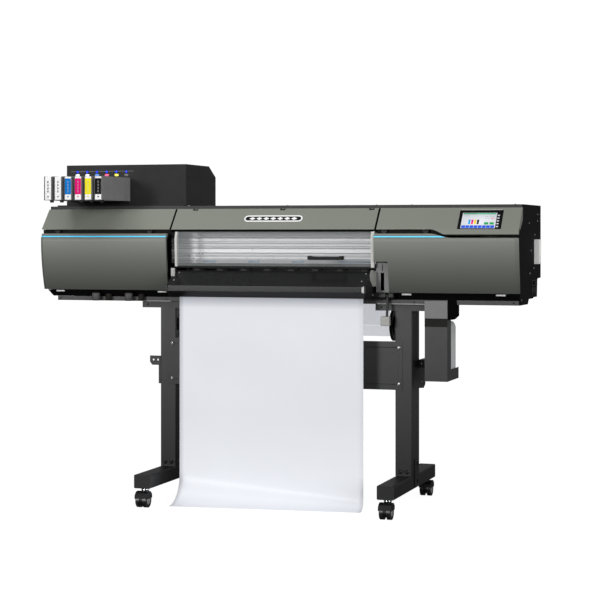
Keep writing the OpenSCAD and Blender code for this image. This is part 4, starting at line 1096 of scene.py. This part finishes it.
def lever_and_bottle_details():
    """Grey knob sleeve of the loading lever, and the hood, a dark band of painted shade below it and the
    valve cover of the drain bottle.
    """
    lo, hi = low("bottle_holder"), high("bottle_holder")
    front = lo.y
    hood_foot, shade_band_foot = 765, 732

    def knob(bm):
        block(bm, (459.3, -130.7, 734.4), (496.7, -109.3, 771.8))

    def hood(bm):
        block(bm, (lo.x - 0.6, front - 0.9, hood_foot), (hi.x + 0.6, front + 0.3, hi.z))

    def band(bm):
        block(bm, (lo.x - 0.4, front - 0.6, shade_band_foot), (hi.x + 0.4, front + 0.3, hood_foot + 0.2))

    def valve_cover(bm):
        outline = [(0, -77), (22, -77), (38, -62), (38, 0), (0, 0)]
        plate(bm, outline, (hi.x + 0.2, front + 46, hi.z + 3), ACROSS, UP, 44)

    piece("lever_knob", knob, "loading_lever", "grey_plastic", KNOB_GREY_AND_PAINTED_LIGHT, edge=3.0)
    piece("holder_hood", hood, "root", "stand_paint", HOOD_GREY, edge=0.4)
    # Painted shade in the recess under the hood
    piece("holder_shade_band", band, "root", "stand_paint", DARK_GREY_AND_SHADE)
    piece("drain_valve_cover", valve_cover, "root", "black_plastic", BLACK_AND_SHADE, edge=1.5)


def caster_details():
    """Hub caps of each caster's wheels, and the bright collar of its stem."""
    stem_offset = 21
    cap_shape = [(0, -0.6), (0.62, -0.6), (0.6, 0.2), (0.5, 0.35), (0.3, 0.35), (0.24, 0.8), (0, 0.9)]
    collar_shape = [(14.6, 66), (15.6, 66), (16.2, 67), (16.2, 72), (15.6, 73), (14.6, 73), (14.6, 66)]
    for i in range(1, 5):
        wheels = "caster_wheels_%d" % i
        lo, hi = low(wheels), high(wheels)
        middle = (lo + hi) / 2
        radius = (hi.z - lo.z) / 2
        stem_y = middle.y + (stem_offset if middle.y < 0 else -stem_offset)

        def caps(bm):
            for x, out in ((lo.x, -1), (hi.x, 1)):
                lathe(bm, [(share * radius, along) for share, along in cap_shape], (x, middle.y, middle.z),
                      (out, 0, 0), steps=28)

        def collar(bm):
            lathe(bm, collar_shape, (middle.x, stem_y, 0), UP, steps=28)

        piece("caster_hubs_%d" % i, caps, wheels, "black_plastic", FINISHES["tray_grey"], edge=0)
        piece("caster_collar_%d" % i, collar, "caster_fork_%d" % i, "steel", CHROME, edge=0)


# ---------- studio and camera

# Light of the floor, of the backdrop as the camera sees it, and of the backdrop on the object
FLOOR_GLOW = 0.93
BACKDROP = 1.02
AMBIENT = 0.26
FLOOR_GREY = (0.25, 0.25, 0.25, 1)
FLOOR_HALF = 60.0

# Direction that each sun comes from, its strength and its spread in degrees
SUNS = {"key_light": ((-0.36, -0.9, 0.14), 1.3, 14), "fill_light": ((0.85, -0.5, 0.16), 1.6, 40)}
TOP_LIGHT = {"place": (-0.7, -1.5, 3.3), "target": (-0.2, -0.1, 1.0), "size": (3.2, 1.2), "power": 30}

# The camera stands level. Its place is in metres and its turn in degrees.
CAMERA_PLACE = (2.2782, -6.8973, 1.1039)
CAMERA_TURN = 17.66
CAMERA_LENS = 105.44
CAMERA_SHIFT = -0.1115
SENSOR_WIDTH = 36


def floor_finish():
    """Pale studio floor. It looks as white as the backdrop but throws little light back at the object."""
    mat, tree = new_material("floor_pale")[:2]
    tree.nodes.clear()
    matt = node(tree, "ShaderNodeBsdfDiffuse", Color=FLOOR_GREY)
    glow = node(tree, "ShaderNodeEmission", Color=(1, 1, 1, 1), Strength=FLOOR_GLOW)
    both = node(tree, "ShaderNodeAddShader")
    path = node(tree, "ShaderNodeLightPath")
    shown = node(tree, "ShaderNodeMixShader", Fac=path.outputs["Is Camera Ray"])
    feed(tree, both.inputs[0], matt.outputs[0])
    feed(tree, both.inputs[1], glow.outputs[0])
    feed(tree, shown.inputs[1], matt.outputs[0])
    feed(tree, shown.inputs[2], both.outputs[0])
    node(tree, "ShaderNodeOutputMaterial", Surface=shown.outputs[0])
    return mat


def stage_floor():
    """Large plain floor at z = 0."""
    mesh = bpy.data.meshes.new("studio_floor")
    corners = [(x * FLOOR_HALF, y * FLOOR_HALF, 0) for x, y in ((-1, -1), (1, -1), (1, 1), (-1, 1))]
    mesh.from_pydata(corners, [], [(0, 1, 2, 3)])
    mesh.materials.append(floor_finish())
    add_object("studio_floor", mesh)


def studio():
    """White backdrop, pale floor, two suns and a soft light from above."""
    world = bpy.data.worlds.new("studio_world")
    SCENE.world = world
    world.use_nodes = True
    tree = world.node_tree
    sky = tree.nodes["Background"]
    path = tree.nodes.new("ShaderNodeLightPath")
    feed(tree, sky.inputs["Color"], (1, 1, 1, 1))
    feed(tree, sky.inputs["Strength"], remap(tree, path.outputs["Is Camera Ray"], AMBIENT, BACKDROP, 0, 1))
    SCENE.view_settings.view_transform = "Standard"
    stage_floor()
    for name, (toward, strength, spread) in SUNS.items():
        data = bpy.data.lights.new(name, "SUN")
        data.energy = strength
        data.angle = math.radians(spread)
        add_object(name, data).rotation_euler = Vector(toward).to_track_quat("Z", "Y").to_euler()
    data = bpy.data.lights.new("top_light", "AREA")
    data.shape = "RECTANGLE"
    data.size, data.size_y = TOP_LIGHT["size"]
    data.energy = TOP_LIGHT["power"]
    light = add_object("top_light", data)
    light.location = TOP_LIGHT["place"]
    aim = Vector(TOP_LIGHT["target"]) - light.location
    light.rotation_euler = aim.to_track_quat("-Z", "Y").to_euler()


def camera():
    """Camera at the photo's place and angle."""
    data = bpy.data.cameras.new("camera")
    data.sensor_width = SENSOR_WIDTH
    data.lens = CAMERA_LENS
    data.shift_y = CAMERA_SHIFT
    SCENE.camera = add_object("camera", data)
    SCENE.camera.location = CAMERA_PLACE
    SCENE.camera.rotation_euler = (math.radians(90), 0, math.radians(CAMERA_TURN))


for step in (camera, studio, finish_cad_nodes, door_trims, groove_shade_liners, emblem, pan_fittings, top_screws,
             touch_screen, cover_details, guide_rail_details, opening_details, film, roll_windings, ink_trays,
             cabinet_details, end_details, stand_details, lever_and_bottle_details, caster_details):
    step()

bpy.context.view_layer.update()
